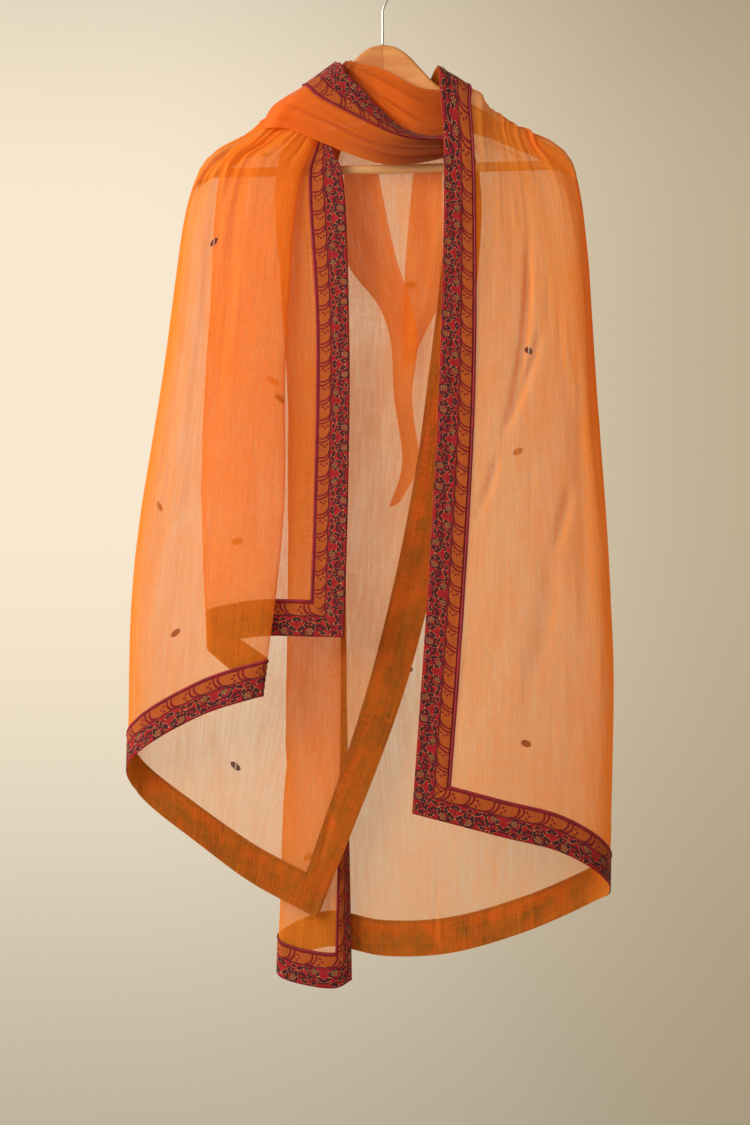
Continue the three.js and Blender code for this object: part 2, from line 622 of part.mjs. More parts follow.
for (const end of ends) {
  const grid = endGrid(end.folds);
  const lastColumn = grid[0].length - 1;
  const firstBand = end.folds[0].steps;
  const lastBand = lastColumn - end.folds[end.folds.length - 2].steps;
  addPiece(`${end.name}_end`, wallOnGrid(grid, CLOTH_WALL), sheerCrepe());
  for (const trim of trims) {
    const material = trim.name === 'border' ? printedCotton : maroonPiping;
    const front = sideTrim(grid, trim, 0, firstBand, 0, end.faceSign);
    const hem = hemTrim(grid, trim, firstBand, lastBand, end.faceSign);
    const back = sideTrim(grid, trim, lastColumn, lastBand, BACK_TRIM_ROW, end.faceSign);
    addPiece(`${end.name}_front_${trim.name}`, front, material());
    addPiece(`${end.name}_hem_${trim.name}`, hem, material());
    addPiece(`${end.name}_back_${trim.name}`, back, material());
  }
}

// The neck stretches, and the border on the upper edge of the front wrap.
const WRAP_STEPS = 9;
const WRAP_BAND_STEPS = 3;
const wrapPlaces = ['lower', 'belly', 'seam', 'edge'];
const wrapGrid = stationGrid(wrapSections, wrapPlaces, 24, WRAP_STEPS, wrapTop, WRAP_OFF_WOOD);
addPiece('front_wrap', wallOnGrid(wrapGrid, CLOTH_WALL), sheerCrepe());
for (const trim of trims) {
  const rowAt = (inFrom) => WRAP_STEPS - (WRAP_BAND_STEPS * inFrom) / EDGE_BAND;
  const lines = trimStops(trim, WRAP_BAND_STEPS).reverse().map((inFrom) => (
    wrapGrid[0].map((_, column) => [rowAt(inFrom), column])
  ));
  const material = trim.name === 'border' ? printedCotton() : maroonPiping();
  addPiece(`front_wrap_${trim.name}`, stripOnGrid(wrapGrid, lines, 1), material);
}

const plainStretches = [
  { name: 'under_wrap', sections: underSections, places: ['upper', 'middle', 'lower'], along: 14, over: 4 },
  { name: 'back_wrap', sections: backSections, places: ['upper', 'middle', 'lower'], along: 10, over: 4 },
  { name: 'cross_fold', sections: crossFoldSections, places: ['inner', 'middle', 'outer'], along: 14, over: 4 },
  { name: 'hanging_fold', sections: hangingFoldSections, places: ['inner', 'middle', 'outer'], along: 10, over: 4 },
];

for (const stretch of plainStretches) {
  const { sections, places, along, over } = stretch;
  const grid = stationGrid(sections, places, along, over, clothTop, CLOTH_OFF_WOOD);
  addPiece(stretch.name, wallOnGrid(grid, CLOTH_WALL), sheerCrepe());
}

export default stole;
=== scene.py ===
import math

import bpy
import numpy as np
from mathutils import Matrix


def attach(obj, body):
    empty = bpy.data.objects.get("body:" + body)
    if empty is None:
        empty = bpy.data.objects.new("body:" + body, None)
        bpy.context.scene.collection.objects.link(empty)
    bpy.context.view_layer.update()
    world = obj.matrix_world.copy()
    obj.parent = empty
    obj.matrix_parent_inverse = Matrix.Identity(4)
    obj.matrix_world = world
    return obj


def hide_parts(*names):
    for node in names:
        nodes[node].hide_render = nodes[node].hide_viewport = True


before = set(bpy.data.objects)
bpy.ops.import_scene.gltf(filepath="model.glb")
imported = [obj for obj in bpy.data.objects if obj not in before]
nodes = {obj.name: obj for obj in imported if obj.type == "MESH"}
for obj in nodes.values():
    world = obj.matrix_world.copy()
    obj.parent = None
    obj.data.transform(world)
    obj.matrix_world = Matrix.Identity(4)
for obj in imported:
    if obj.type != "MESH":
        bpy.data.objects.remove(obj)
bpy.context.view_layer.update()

mm = 0.001
print("frame loaded:", len(nodes), "nodes")


def tint(red, green, blue):
    # a colour picked on a screen, as the linear colour that a shader takes
    return tuple((v / 255) ** 2.2 for v in (red, green, blue)) + (1.0,)


# camera, light and floor

view = {"height": 1.3275, "middle": (-0.009, -0.706), "distance": 3.4}
light = {"spot": (-1.8, -1.4, 0.15), "aim": (0, 0, -0.6), "size": 1.4, "power": 61,
         "colour": (1.0, 0.93, 0.83)}
room = {
    "left": tint(248, 232, 206), "right": tint(188, 171, 142),
    "floor": tint(214, 200, 178), "floorWorn": tint(200, 186, 162), "floorDrop": 1.95, "floorRadius": 1.7,
    "turn": (-0.09, 0.15),     # where the backdrop goes from its brighter left colour to its darker right one: a painted light falloff from the left, which the world also shines onto the scene
    # the backdrop dims towards the floor and at the top, as painted shade
    "low": (-0.25, 0.03), "lowDim": (0.5, 0.72), "high": (0.11, 0.26), "highDim": 0.7,
}

bpy.ops.object.select_all(action="DESELECT")
bpy.ops.object.camera_add(location=(view["middle"][0], -view["distance"], view["middle"][1]),
                          rotation=(math.pi / 2, 0, 0))
camera = bpy.context.object
camera.name = "camera"
camera.data.lens = camera.data.sensor_width * view["distance"] / view["height"]
bpy.context.scene.camera = camera

bpy.ops.object.light_add(type="AREA", location=light["spot"])
key = bpy.context.object
key.name = "key"
key.data.size = light["size"]
key.data.energy = light["power"]
key.data.color = light["colour"]
toCloth = [aim - spot for aim, spot in zip(light["aim"], light["spot"])]
key.rotation_euler = (math.acos(-toCloth[2] / math.dist(toCloth, (0, 0, 0))), 0,
                      math.atan2(toCloth[1], toCloth[0]) - math.pi / 2)

bpy.ops.mesh.primitive_circle_add(vertices=96, radius=room["floorRadius"], fill_type="NGON",
                                  location=(0, 0, -room["floorDrop"]))
floor = bpy.context.object
floor.name = "floor"
bpy.ops.object.transform_apply(location=True)

bpy.context.scene.view_settings.view_transform = "Standard"


# nodes

def addNode(tree, kind, inputs=None, **settings):
    # a shader node; inputs are its sockets' values or the sockets that feed them
    node = tree.nodes.new("ShaderNode" + kind)
    for name, value in settings.items():
        setattr(node, name, value)
    for name, value in (inputs or {}).items():
        socket = node.inputs[name]
        if isinstance(value, bpy.types.NodeSocket):
            tree.links.new(value, socket)
        else:
            socket.default_value = value
    return node


def reckon(tree, how, first, second=0.0, third=0.0, clamp=False):
    return addNode(tree, "Math", {0: first, 1: second, 2: third}, operation=how, use_clamp=clamp).outputs[0]


def plus(tree, first, second, clamp=False):
    return reckon(tree, "ADD", first, second, clamp=clamp)


def minus(tree, first, second, clamp=False):
    return reckon(tree, "SUBTRACT", first, second, clamp=clamp)


def times(tree, first, second):
    return reckon(tree, "MULTIPLY", first, second)


def apart(tree, first, second):
    # how far one value is from another
    return reckon(tree, "ABSOLUTE", minus(tree, first, second))


def least(tree, values):
    low = values[0]
    for value in values[1:]:
        low = reckon(tree, "MINIMUM", low, value)
    return low


def ease(tree, value, low, high, lowTo=0.0, highTo=1.0):
    # a value read between two limits, with soft ends
    limits = {"Value": value, "From Min": low, "From Max": high, "To Min": lowTo, "To Max": highTo}
    return addNode(tree, "MapRange", limits, interpolation_type="SMOOTHSTEP").outputs["Result"]


def blendColours(tree, share, first, second):
    node = addNode(tree, "Mix", {"Factor": share}, data_type="RGBA", blend_type="MIX")
    for index, value in ((6, first), (7, second)):
        if isinstance(value, bpy.types.NodeSocket):
            tree.links.new(value, node.inputs[index])
        else:
            node.inputs[index].default_value = value
    return node.outputs[2]


def paint(tree, under, over, value, low, high, lowTo=0.0, highTo=1.0):
    # one colour over another, by how a value reads between two limits
    return blendColours(tree, ease(tree, value, low, high, lowTo, highTo), under, over)


def objectPlace(tree):
    return addNode(tree, "TexCoord").outputs["Object"]


def flatPlace(tree):
    # the place on the flat cloth, in metres
    return addNode(tree, "UVMap", uv_map="UVMap").outputs["UV"]


def splitOf(tree, vector):
    return tuple(addNode(tree, "SeparateXYZ", {"Vector": vector}).outputs)


def joined(tree, x, y):
    return addNode(tree, "CombineXYZ", {"X": x, "Y": y}).outputs[0]


def lengthOf(tree, vector):
    return addNode(tree, "VectorMath", {0: vector}, operation="LENGTH").outputs["Value"]


def stretched(tree, vector, scale, turn=0.0):
    return addNode(tree, "Mapping", {"Vector": vector, "Scale": scale,
                                     "Rotation": (0, 0, turn)}).outputs["Vector"]


def noiseOf(tree, vector, scale, detail=2.0, rough=0.5, distortion=0.0):
    return addNode(tree, "TexNoise", {"Vector": vector, "Scale": scale, "Detail": detail,
                                      "Roughness": rough, "Distortion": distortion}).outputs["Fac"]


def longNoise(tree, vector, scale, detail=2.0, rough=0.5, distortion=0.0):
    # noise with its own scale in each direction
    return noiseOf(tree, stretched(tree, vector, scale), 1.0, detail, rough, distortion)


def bumpOf(tree, strength, distance, height):
    return addNode(tree, "Bump", {"Strength": strength, "Distance": distance, "Height": height}).outputs[0]


def surfaceOf(tree, colour, rough, more):
    return addNode(tree, "BsdfPrincipled", {"Base Color": colour, "Roughness": rough, **more}).outputs[0]


def startMaterial(name):
    material = bpy.data.materials.new(name)
    material.use_nodes = True
    tree = material.node_tree
    tree.nodes.clear()
    return material, tree


def finishMaterial(tree, shader):
    output = tree.nodes.new("ShaderNodeOutputMaterial")
    tree.links.new(shader, output.inputs["Surface"])


# world and floor finishes

def makeWorld():
    world = bpy.data.worlds.new("studio")
    world.use_nodes = True
    bpy.context.scene.world = world
    tree = world.node_tree
    tree.nodes.clear()
    x, _, z = splitOf(tree, addNode(tree, "TexCoord").outputs["Generated"])
    # painted light on the backdrop: brighter on the left, dimmer on the right, towards the floor and at the
    # top; the world lights the scene with the same falloff
    across = ease(tree, x, *room["turn"])
    wall = blendColours(tree, across, room["left"], room["right"])
    dimmed = {"Value": across, "To Min": room["lowDim"][0], "To Max": room["lowDim"][1]}
    floorward = addNode(tree, "MapRange", dimmed).outputs["Result"]
    low = ease(tree, z, *room["low"], floorward, 1.0)
    high = ease(tree, z, *room["high"], 1.0, room["highDim"])
    shade = addNode(tree, "Background", {"Color": wall, "Strength": times(tree, low, high)})
    output = tree.nodes.new("ShaderNodeOutputWorld")
    tree.links.new(shade.outputs[0], output.inputs["Surface"])


def makeFloor():
    material, tree = startMaterial("pale floor")
    mottle = noiseOf(tree, objectPlace(tree), 6.0, 4.0)
    colour = paint(tree, room["floor"], room["floorWorn"], mottle, 0.3, 0.7, 0, 0.12)
    finishMaterial(tree, surfaceOf(tree, colour, 0.9, {}))
    return material


makeWorld()
floor.data.materials.append(makeFloor())


# wood and steel

woodGrain = {"slow": (9, 60, 60), "rings": (3, 40, 130), "pores": (160, 1500, 1500)}


def makeWood(name, pale, dark, rough, coat):
    # grain runs along the arms, with slow rings and short pores
    material, tree = startMaterial(name)
    place = objectPlace(tree)
    slow = longNoise(tree, place, woodGrain["slow"], 3.0, 0.55, 0.6)
    rings = addNode(tree, "TexWave", {"Vector": stretched(tree, place, woodGrain["rings"]), "Scale": 1.0,
                                      "Distortion": 3.2, "Detail": 2.0, "Detail Scale": 0.6},
                    wave_type="BANDS", bands_direction="Z").outputs["Fac"]
    pores = longNoise(tree, place, woodGrain["pores"])
    body = paint(tree, pale, dark, slow, 0.25, 0.75)
    body = paint(tree, body, dark, rings, 0.4, 0.95, 0, 0.45)
    poreColour = tuple(0.45 * v for v in dark[:3]) + (1,)
    body = paint(tree, body, poreColour, pores, 0.58, 0.72, 0, 0.35)
    bump = bumpOf(tree, 0.2, 0.0004, pores)
    lacquer = {"Coat Weight": coat, "Coat Roughness": 0.25, "Normal": bump}
    finishMaterial(tree, surfaceOf(tree, body, rough, lacquer))
    return material


def makeSteel():
    material, tree = startMaterial("hook steel")
    drawn = longNoise(tree, objectPlace(tree), (2500, 2500, 60), 3.0)
    tone = paint(tree, tint(206, 204, 200), tint(150, 147, 142), drawn, 0.35, 0.7)
    bump = bumpOf(tree, 0.15, 0.0002, drawn)
    finishMaterial(tree, surfaceOf(tree, tone, 0.28, {"Metallic": 1.0, "Normal": bump}))
    return material


honeyWood = makeWood("honey wood", tint(222, 158, 98), tint(196, 122, 66), 0.42, 0.35)
honeyWoodLeft = makeWood("honey wood, darker board", tint(208, 142, 82), tint(182, 108, 54), 0.42, 0.35)
paleWood = makeWood("pale wood", tint(226, 184, 134), tint(205, 158, 106), 0.5, 0.2)
hookSteel = makeSteel()


# sheer crepe

cloth = {
    "width": 0.76, "band": 0.0431, "density": (1.0, 7.0),
    "columns": 350, "rowStep": 0.0055, "hemColumns": 330, "edgeFiner": 1.2,
    "clear": 4.4, "clearCreased": (3.4, 3.6),     # mm from the wood, before and after the creases
    "backTrimFrom": 2.5,     # where the back edge's border starts on a fold line
}

crepe = {
    "bright": tint(255, 158, 50), "deep": tint(248, 124, 40),
    # shade is the dark colour of the painted shade on the neck wraps
    "shade": tint(112, 34, 6), "through": tint(255, 160, 60), "gap": (1.0, 0.968, 0.905, 1),
    "cover": 0.41,       # what one flat layer covers
    "edgeOn": 0.16,      # the least slant that counts, which limits how dense an edge-on layer looks
    # how many to a metre, across and along
    "crinkle": (330, 15, 1), "cross": (38, 210, 1), "threads": (1700, 900, 1), "cloud": (11, 4.5, 1),
    # the small woven motifs: their lattice, half sizes, kinds and the plain margin beside the borders
    "butiCell": (0.25, 0.46), "butiSize": (0.0062, 0.0042), "margin": (0.048, 0.052),
    "butiPlain": tint(176, 84, 30), "butiDark": tint(82, 28, 34), "butiBand": tint(226, 206, 182),
    "butiThrough": tint(132, 58, 24),
}


def butiOf(tree, flat, layers):
    # how much of a small oval is here, whether it is of the plain kind, and the band across the other
    across, up, _ = splitOf(tree, flat)
    wide, tall = crepe["butiCell"]
    row = reckon(tree, "FLOOR", reckon(tree, "DIVIDE", up, tall / 2))
    shift = times(tree, reckon(tree, "MODULO", row, 2.0), wide / 2)
    inCellX = minus(tree, reckon(tree, "WRAP", plus(tree, across, shift), wide, 0.0), wide / 2)
    inCellY = minus(tree, reckon(tree, "WRAP", up, tall / 2, 0.0), tall / 4)
    far = lengthOf(tree, joined(tree, reckon(tree, "DIVIDE", inCellX, crepe["butiSize"][0]),
                                reckon(tree, "DIVIDE", inCellY, crepe["butiSize"][1])))
    buti = times(tree, ease(tree, far, 0.9, 1.1, 1.0, 0.0), ease(tree, layers, 1.8, 4.0, 1.0, 0.15))
    middle = cloth["width"] / 2
    fromEdge = minus(tree, middle, apart(tree, across, middle))
    clear = reckon(tree, "MINIMUM", fromEdge, up)
    buti = times(tree, buti, ease(tree, clear, *crepe["margin"]))
    cellX = reckon(tree, "FLOOR", reckon(tree, "DIVIDE", plus(tree, across, shift), wide))
    lot = addNode(tree, "TexWhiteNoise", {"Vector": joined(tree, cellX, row)}).outputs["Value"]
    plain = ease(tree, lot, 0.38, 0.4)
    middleLine = ease(tree, reckon(tree, "ABSOLUTE", inCellX), 0.0007, 0.0011, 1.0, 0.0)
    return buti, plain, times(tree, middleLine, minus(tree, 1.0, plain))


def makeCrepe():
    # each layer covers its share, more of it where the cloth is gathered or seen along its surface
    material, tree = startMaterial("sheer crepe")
    flat = flatPlace(tree)
    crinkle = longNoise(tree, flat, crepe["crinkle"], 3.0, 0.65, 0.9)
    cross = longNoise(tree, flat, crepe["cross"], 2.0, 0.5, 0.3)
    threads = longNoise(tree, flat, crepe["threads"], 1.0)
    cloud = longNoise(tree, flat, crepe["cloud"], 2.0, 0.5, 1.2)
    layers = addNode(tree, "Attribute", attribute_name="layers").outputs["Fac"]
    facing = addNode(tree, "LayerWeight", {"Blend": 0.5}).outputs["Facing"]
    buti, plain, band = butiOf(tree, flat, layers)

    cover = plus(tree, crepe["cover"], ease(tree, crinkle, 0.25, 0.75, -0.09, 0.11))
    cover = plus(tree, cover, ease(tree, cross, 0.25, 0.75, -0.03, 0.03))
    cover = plus(tree, cover, ease(tree, cloud, 0.3, 0.7, -0.06, 0.07))
    cover = plus(tree, cover, ease(tree, threads, 0.3, 0.7, -0.03, 0.03), clamp=True)
    bare = minus(tree, 1.0, cover)
    slant = reckon(tree, "MAXIMUM", minus(tree, 1.0, facing), crepe["edgeOn"])
    cover = minus(tree, 1.0, reckon(tree, "POWER", bare, reckon(tree, "DIVIDE", layers, slant)), clamp=True)
    cover = reckon(tree, "MAXIMUM", cover, times(tree, buti, 0.93))

    dye = paint(tree, crepe["bright"], crepe["deep"], layers, 1.2, 5.0)
    dye = paint(tree, dye, crepe["deep"], crinkle, 0.45, 0.8, 0, 0.5)
    # painted shade: the dye and the glow darken towards the shade colour by how much painted shade each
    # point carries
    paintedShade = addNode(tree, "Attribute", attribute_name="paintedShade").outputs["Fac"]
    dye = blendColours(tree, paintedShade, dye, crepe["shade"])
    butiColour = blendColours(tree, plain, crepe["butiDark"], crepe["butiPlain"])
    butiColour = blendColours(tree, band, butiColour, crepe["butiBand"])
    dye = blendColours(tree, buti, dye, butiColour)
    glow = blendColours(tree, paintedShade, crepe["through"], crepe["shade"])
    glow = blendColours(tree, buti, glow, crepe["butiThrough"])

    height = plus(tree, times(tree, crinkle, 1.0), times(tree, cross, 0.35))
    height = plus(tree, height, times(tree, threads, 0.12))
    bump = bumpOf(tree, 0.55, 0.0016, height)
    front = surfaceOf(tree, dye, 0.72, {"Specular IOR Level": 0.25, "Sheen Weight": 0.2,
                                        "Sheen Roughness": 0.4, "Normal": bump})
    back = addNode(tree, "BsdfTranslucent", {"Color": glow, "Normal": bump}).outputs[0]
    yarn = addNode(tree, "MixShader", {0: 0.45, 1: front, 2: back}).outputs[0]
    gap = addNode(tree, "BsdfTransparent", {"Color": crepe["gap"]}).outputs[0]
    finishMaterial(tree, addNode(tree, "MixShader", {0: cover, 1: gap, 2: yarn}).outputs[0])
    return material


# printed border: a flowering vine on crimson, and arcs and dots on an ochre strip, all in mm

border = {
    "ochreFrom": 24.5, "ochreTo": 38.0,
    "repeat": 52.0,      # along the border to where the vine turns back
    "vine": (6.5, 12.0),     # how far it swings, about how far in from the edge
    "arcStep": 27.0,     # from one pair of arcs to the next
    "arcs": (0.0, 5.0), "arcsIn": 37.0, "arcRadius": 12.5,
    "dots": [(20.0, 27.6), (23.4, 31.0), (21.2, 34.6)], "dotRadius": 1.5,
    "stitchIn": 1.6, "stitchStep": 3.0,
    "stepsFrom": 4590.0, "stitchesFrom": 4600.0,     # added so that nothing is below nought
    "crimson": tint(160, 22, 32), "plum": tint(58, 20, 30), "cream": tint(214, 164, 104),
    "ochre": tint(168, 78, 26), "ochreWorn": tint(170, 84, 28), "maroon": tint(118, 16, 28),
    "worn": tint(70, 16, 22), "thread": tint(60, 14, 22),
    "reverseDark": tint(66, 18, 2), "reverseLight": tint(188, 62, 20),
    # along, in from the edge, radius
    "curls": [(13.5, 17.0, 5.6), (38.5, 6.4, 6.0), (26.0, 10.5, 3.6)],
    # along and in from the edge, half length, half width, turn
    "leaves": [(3.5, 10, 4.8, 2.1, 35), (11, 4.5, 4.2, 1.9, -25), (17.5, 12.5, 4.6, 2.0, 70),
               (22.5, 4.6, 4.0, 1.8, 15), (27.5, 19.4, 4.6, 2.0, -28), (33, 12.2, 3.8, 1.9, 80),
               (36.2, 20.4, 3.6, 1.7, 10), (47.5, 9.2, 4.8, 2.1, -45), (45, 3.6, 4.0, 1.7, 20),
               (49.5, 20.2, 3.8, 1.8, 35), (20.5, 20.6, 3.4, 1.6, 40), (41.5, 14.6, 3.6, 1.7, -60),
               (6.5, 16.5, 3.2, 1.6, -70)],
    # along, in from the edge, radius, petals
    "flowers": [(11.5, 18.4, 4.0, 5), (37.2, 6.4, 4.4, 6)],
}


def motifReach(tree, place, along, inward, halfLong, halfWide, turn=0.0):
    # each place as seen from an oval, and how far out it is: 1 on the oval's outline
    node = addNode(tree, "Mapping", {"Vector": place, "Location": (along, inward, 0),
                                     "Rotation": (0, 0, math.radians(turn)),
                                     "Scale": (halfLong, halfWide, 1)}, vector_type="TEXTURE")
    return node.outputs[0], lengthOf(tree, node.outputs[0])


def vinePrint(tree, along, inward, wobble):
    turned = reckon(tree, "PINGPONG", along, border["repeat"])
    spot = joined(tree, turned, inward)
    wave = reckon(tree, "COSINE", times(tree, turned, math.pi / border["repeat"]))
    swing, middle = border["vine"]
    stems = [apart(tree, inward, reckon(tree, "MULTIPLY_ADD", wave, -swing, middle))]
    for at, deep, radius in border["curls"]:
        _, reach = motifReach(tree, spot, at, deep, radius, radius)
        stems.append(times(tree, apart(tree, reach, 1.0), radius))
    stem = least(tree, stems)
    leaf = least(tree, [motifReach(tree, spot, *oval)[1] for oval in border["leaves"]])
    petals = []
    hearts = []
    for at, deep, radius, count in border["flowers"]:
        local, reach = motifReach(tree, spot, at, deep, radius, radius)
        x, y, _ = splitOf(tree, local)
        turn = reckon(tree, "ARCTAN2", y, x)
        lobes = reckon(tree, "COSINE", times(tree, turn, float(count)))
        petals.append(reckon(tree, "DIVIDE", reach, reckon(tree, "MULTIPLY_ADD", lobes, 0.26, 0.74)))
        hearts.append(reach)
    flower = least(tree, petals)
    heart = least(tree, hearts)
    dots = longNoise(tree, spot, (0.55, 0.55, 1), 0.0)

    ground = paint(tree, border["crimson"], border["maroon"], wobble, 0.3, 0.75, 0, 0.35)
    ground = paint(tree, ground, border["plum"], dots, 0.66, 0.70)
    ground = paint(tree, ground, border["plum"], stem, 0.75, 1.05, 1, 0)
    rim = {"Value": leaf, "From Min": 1.1, "From Max": 1.25, "To Min": ease(tree, dots, 0.5, 0.56, 0, 0.9),
           "To Max": 0.0}
    ground = blendColours(tree, addNode(tree, "MapRange", rim).outputs["Result"], ground, border["cream"])
    # where each colour starts to fade, where it ends, how solid it is, and which it is
    for value, solidTo, endsAt, solid, pigment in (
            (leaf, 0.94, 1.04, 1, "plum"), (leaf, 0.12, 0.24, 0.3, "crimson"),
            (flower, 1.22, 1.34, 1, "plum"), (flower, 0.84, 0.96, 0.9, "cream"),
            (flower, 0.66, 0.8, 0.95, "plum"), (heart, 0.24, 0.34, 1, "ochre")):
        ground = paint(tree, ground, border[pigment], value, solidTo, endsAt, solid, 0)
    return ground


def stripPrint(tree, along, inward, wobble):
    step = reckon(tree, "MODULO", plus(tree, along, border["stepsFrom"]), border["arcStep"])
    strip = joined(tree, step, inward)
    radius, dot = border["arcRadius"], border["dotRadius"]
    arcs = []
    for at in border["arcs"]:
        bow, reach = motifReach(tree, strip, at, border["arcsIn"], radius, radius)
        side, _, _ = splitOf(tree, bow)
        arcs.append(plus(tree, apart(tree, reach, 1.0), ease(tree, side, 0.0, 0.1, 1.0, 0.0)))
    arc = least(tree, arcs)
    spots = least(tree, [motifReach(tree, strip, at, deep, dot, dot)[1] for at, deep in border["dots"]])
    ochre = paint(tree, border["ochre"], border["ochreWorn"], wobble, 0.3, 0.7, 0, 0.3)
    ochre = paint(tree, ochre, border["maroon"], arc, 0.075, 0.115, 1, 0)
    return paint(tree, ochre, border["maroon"], spots, 0.85, 1.1, 1, 0)


def makePrint(name, reverse):
    material, tree = startMaterial(name)
    flat = flatPlace(tree)
    wobble = longNoise(tree, flat, (120, 120, 1))
    x, y, _ = splitOf(tree, flat)
    along = reckon(tree, "MULTIPLY_ADD", x, 1 / mm, ease(tree, wobble, 0.2, 0.8, -0.5, 0.5))
    inward = reckon(tree, "MULTIPLY_ADD", y, 1 / mm, ease(tree, wobble, 0.2, 0.8, 0.4, -0.4))
    ground = vinePrint(tree, along, inward, wobble)
    ochre = stripPrint(tree, along, inward, wobble)
    start, stop = border["ochreFrom"], border["ochreTo"]
    colour = paint(tree, ground, ochre, inward, start - 0.3, start + 0.3)
    line = apart(tree, inward, start)
    colour = paint(tree, colour, border["plum"], line, 0.5, 0.9, 0.9, 0)
    colour = paint(tree, colour, border["maroon"], inward, stop, stop + 0.5)

    weaves = [addNode(tree, "TexWave", {"Vector": flat, "Scale": 330.0}, bands_direction=way).outputs["Fac"]
              for way in "XY"]
    weave = reckon(tree, "MAXIMUM", *weaves)
    worn = longNoise(tree, flat, (26, 34, 1), 4.0, 0.6)
    if reverse:
        tone = addNode(tree, "RGBToBW", {"Color": colour}).outputs[0]
        slub = longNoise(tree, flat, (170, 60, 1), 3.0, 0.6)
        patch = plus(tree, ease(tree, worn, 0.34, 0.64, 0, 0.55), ease(tree, tone, 0.02, 0.16, 0, 0.4))
        patch = plus(tree, patch, ease(tree, slub, 0.3, 0.7, -0.2, 0.25), clamp=True)
        colour = blendColours(tree, patch, border["reverseDark"], border["reverseLight"])
    else:
        colour = paint(tree, colour, border["worn"], worn, 0.45, 0.8, 0, 0.25)
    row = ease(tree, apart(tree, inward, border["stitchIn"]), 0.25, 0.5, 1, 0)
    pitch = reckon(tree, "MODULO", plus(tree, along, border["stitchesFrom"]), border["stitchStep"])
    stitch = times(tree, row, ease(tree, pitch, 1.9, 2.3, 1, 0))
    colour = blendColours(tree, times(tree, stitch, 0.7), colour, border["thread"])
    height = plus(tree, times(tree, worn, 3.0), times(tree, weave, 0.2))
    height = minus(tree, height, times(tree, stitch, 0.5))
    bump = bumpOf(tree, 0.5, 0.0009, height)
    finishMaterial(tree, surfaceOf(tree, colour, 0.78, {"Specular IOR Level": 0.3, "Sheen Weight": 0.1,
                                                        "Normal": bump}))
    return material


def makePiping():
    material, tree = startMaterial("maroon piping")
    flat = flatPlace(tree)
    lean = stretched(tree, flat, (1, 1, 1), math.radians(35))
    twist = addNode(tree, "TexWave", {"Vector": lean, "Scale": 260.0}, bands_direction="X").outputs["Fac"]
    faded = longNoise(tree, flat, (60, 200, 1), 3.0)
    colour = paint(tree, tint(148, 18, 42), tint(112, 12, 30), faded, 0.3, 0.7)
    finishMaterial(tree, surfaceOf(tree, colour, 0.68, {"Normal": bumpOf(tree, 0.35, 0.0003, twist)}))
    return material


sheerCrepe = makeCrepe()
printFace = makePrint("printed border, face", False)
printReverse = makePrint("printed border, reverse", True)
pipingCloth = makePiping()
print("finishes made")


# lofting

def readRow(points, at):
    # centripetal Catmull-Rom through points (..., K, 3), read at places 0 to K - 1
    last = points.shape[-2] - 1
    ahead = 2 * points[..., :1, :] - points[..., 1:2, :]
    beyond = 2 * points[..., -1:, :] - points[..., -2:-1, :]
    whole = np.concatenate([ahead, points, beyond], axis=-2)
    gaps = np.maximum(np.linalg.norm(np.diff(whole, axis=-2), axis=-1), 1e-7) ** 0.5
    cell = np.clip(np.floor(at).astype(int), 0, last - 1)
    share = (at - cell)[:, None]
    p0, p1, p2, p3 = (whole[..., cell + step, :] for step in range(4))
    g0, g1, g2 = (gaps[..., cell + step, None] for step in range(3))
    leave = ((p1 - p0) / g0 - (p2 - p0) / (g0 + g1) + (p2 - p1) / g1) * g1
    arrive = ((p2 - p1) / g1 - (p3 - p1) / (g1 + g2) + (p3 - p2) / g2) * g1
    return p1 + share * (leave + share * ((3 * (p2 - p1) - 2 * leave - arrive)
                                          + share * (2 * (p1 - p2) + leave + arrive)))


wood = {
    "drop": 95, "thick": 12, "tilt": math.radians(1.34),
    # how far out and how far down each outline goes, in mm
    "top": [(0, 0), (16, 3), (30, 13), (45, 30), (58, 45), (74, 56), (100, 70), (147, 101), (192, 121),
            (208, 132), (217, 145), (221, 158)],
    "bottom": [(0, 86), (40, 89), (80, 99), (125, 114), (153, 126), (186, 141), (205, 153), (217, 160)],
}


def grown(outline, distance):
    # an outline of the wood moved out by an even distance
    spots = np.array(outline, float)
    ends = np.vstack([spots[:1], spots, spots[-1:]])
    slope = ends[2:] - ends[:-2]
    slope /= np.linalg.norm(slope, axis=1)[:, None]
    return np.column_stack([spots[:, 0] + distance * slope[:, 1], spots[:, 1] - distance * slope[:, 0]])


def turnAboutWood(spots, angle):
    x, y, z = spots[..., 0], spots[..., 1], spots[..., 2]
    return np.stack([x * math.cos(angle) + z * math.sin(angle), y,
                     z * math.cos(angle) - x * math.sin(angle)], -1)


pivot = np.array([0, 0, -wood["drop"]], float)


def crestSpot(out, y, lift):
    top = grown(wood["top"], cloth["clear"])
    spot = np.array([out, y, lift - np.interp(abs(out), top[:, 0], top[:, 1])])
    return turnAboutWood(spot, -wood["tilt"]) + pivot


def clearOfWood(spots, distance, outlineDistance):
    # cloth that would cut the wood goes round its upper edge or to its own side of it
    top = grown(wood["top"], outlineDistance)
    bottom = np.array(wood["bottom"], float)
    local = turnAboutWood(spots - pivot, wood["tilt"])
    out = np.abs(local[..., 0])
    reach = wood["thick"] / 2 + distance
    middle = -np.interp(out, top[:, 0], top[:, 1]) - reach
    under = -np.interp(out, bottom[:, 0], bottom[:, 1]) - distance
    above = np.maximum(local[..., 2] - middle, 0)
    far = np.hypot(local[..., 1], above)
    inside = (out <= top[-1, 0]) & (local[..., 2] >= under) & (far <= reach)
    push = np.where(inside, reach / np.maximum(far, 1e-6), 1)
    local[..., 1] *= push
    local[..., 2] = np.where(inside & (above > 0), middle + above * push, local[..., 2])
    return turnAboutWood(local, -wood["tilt"]) + pivot


# shares of the way: neck to shoulder for an even fold, crest to shoulder for one that crosses the wood
foldShares = {"crest": 0.35, "past": 0.65, "pastCrest": 0.3, "pastCrestBack": 0.6}


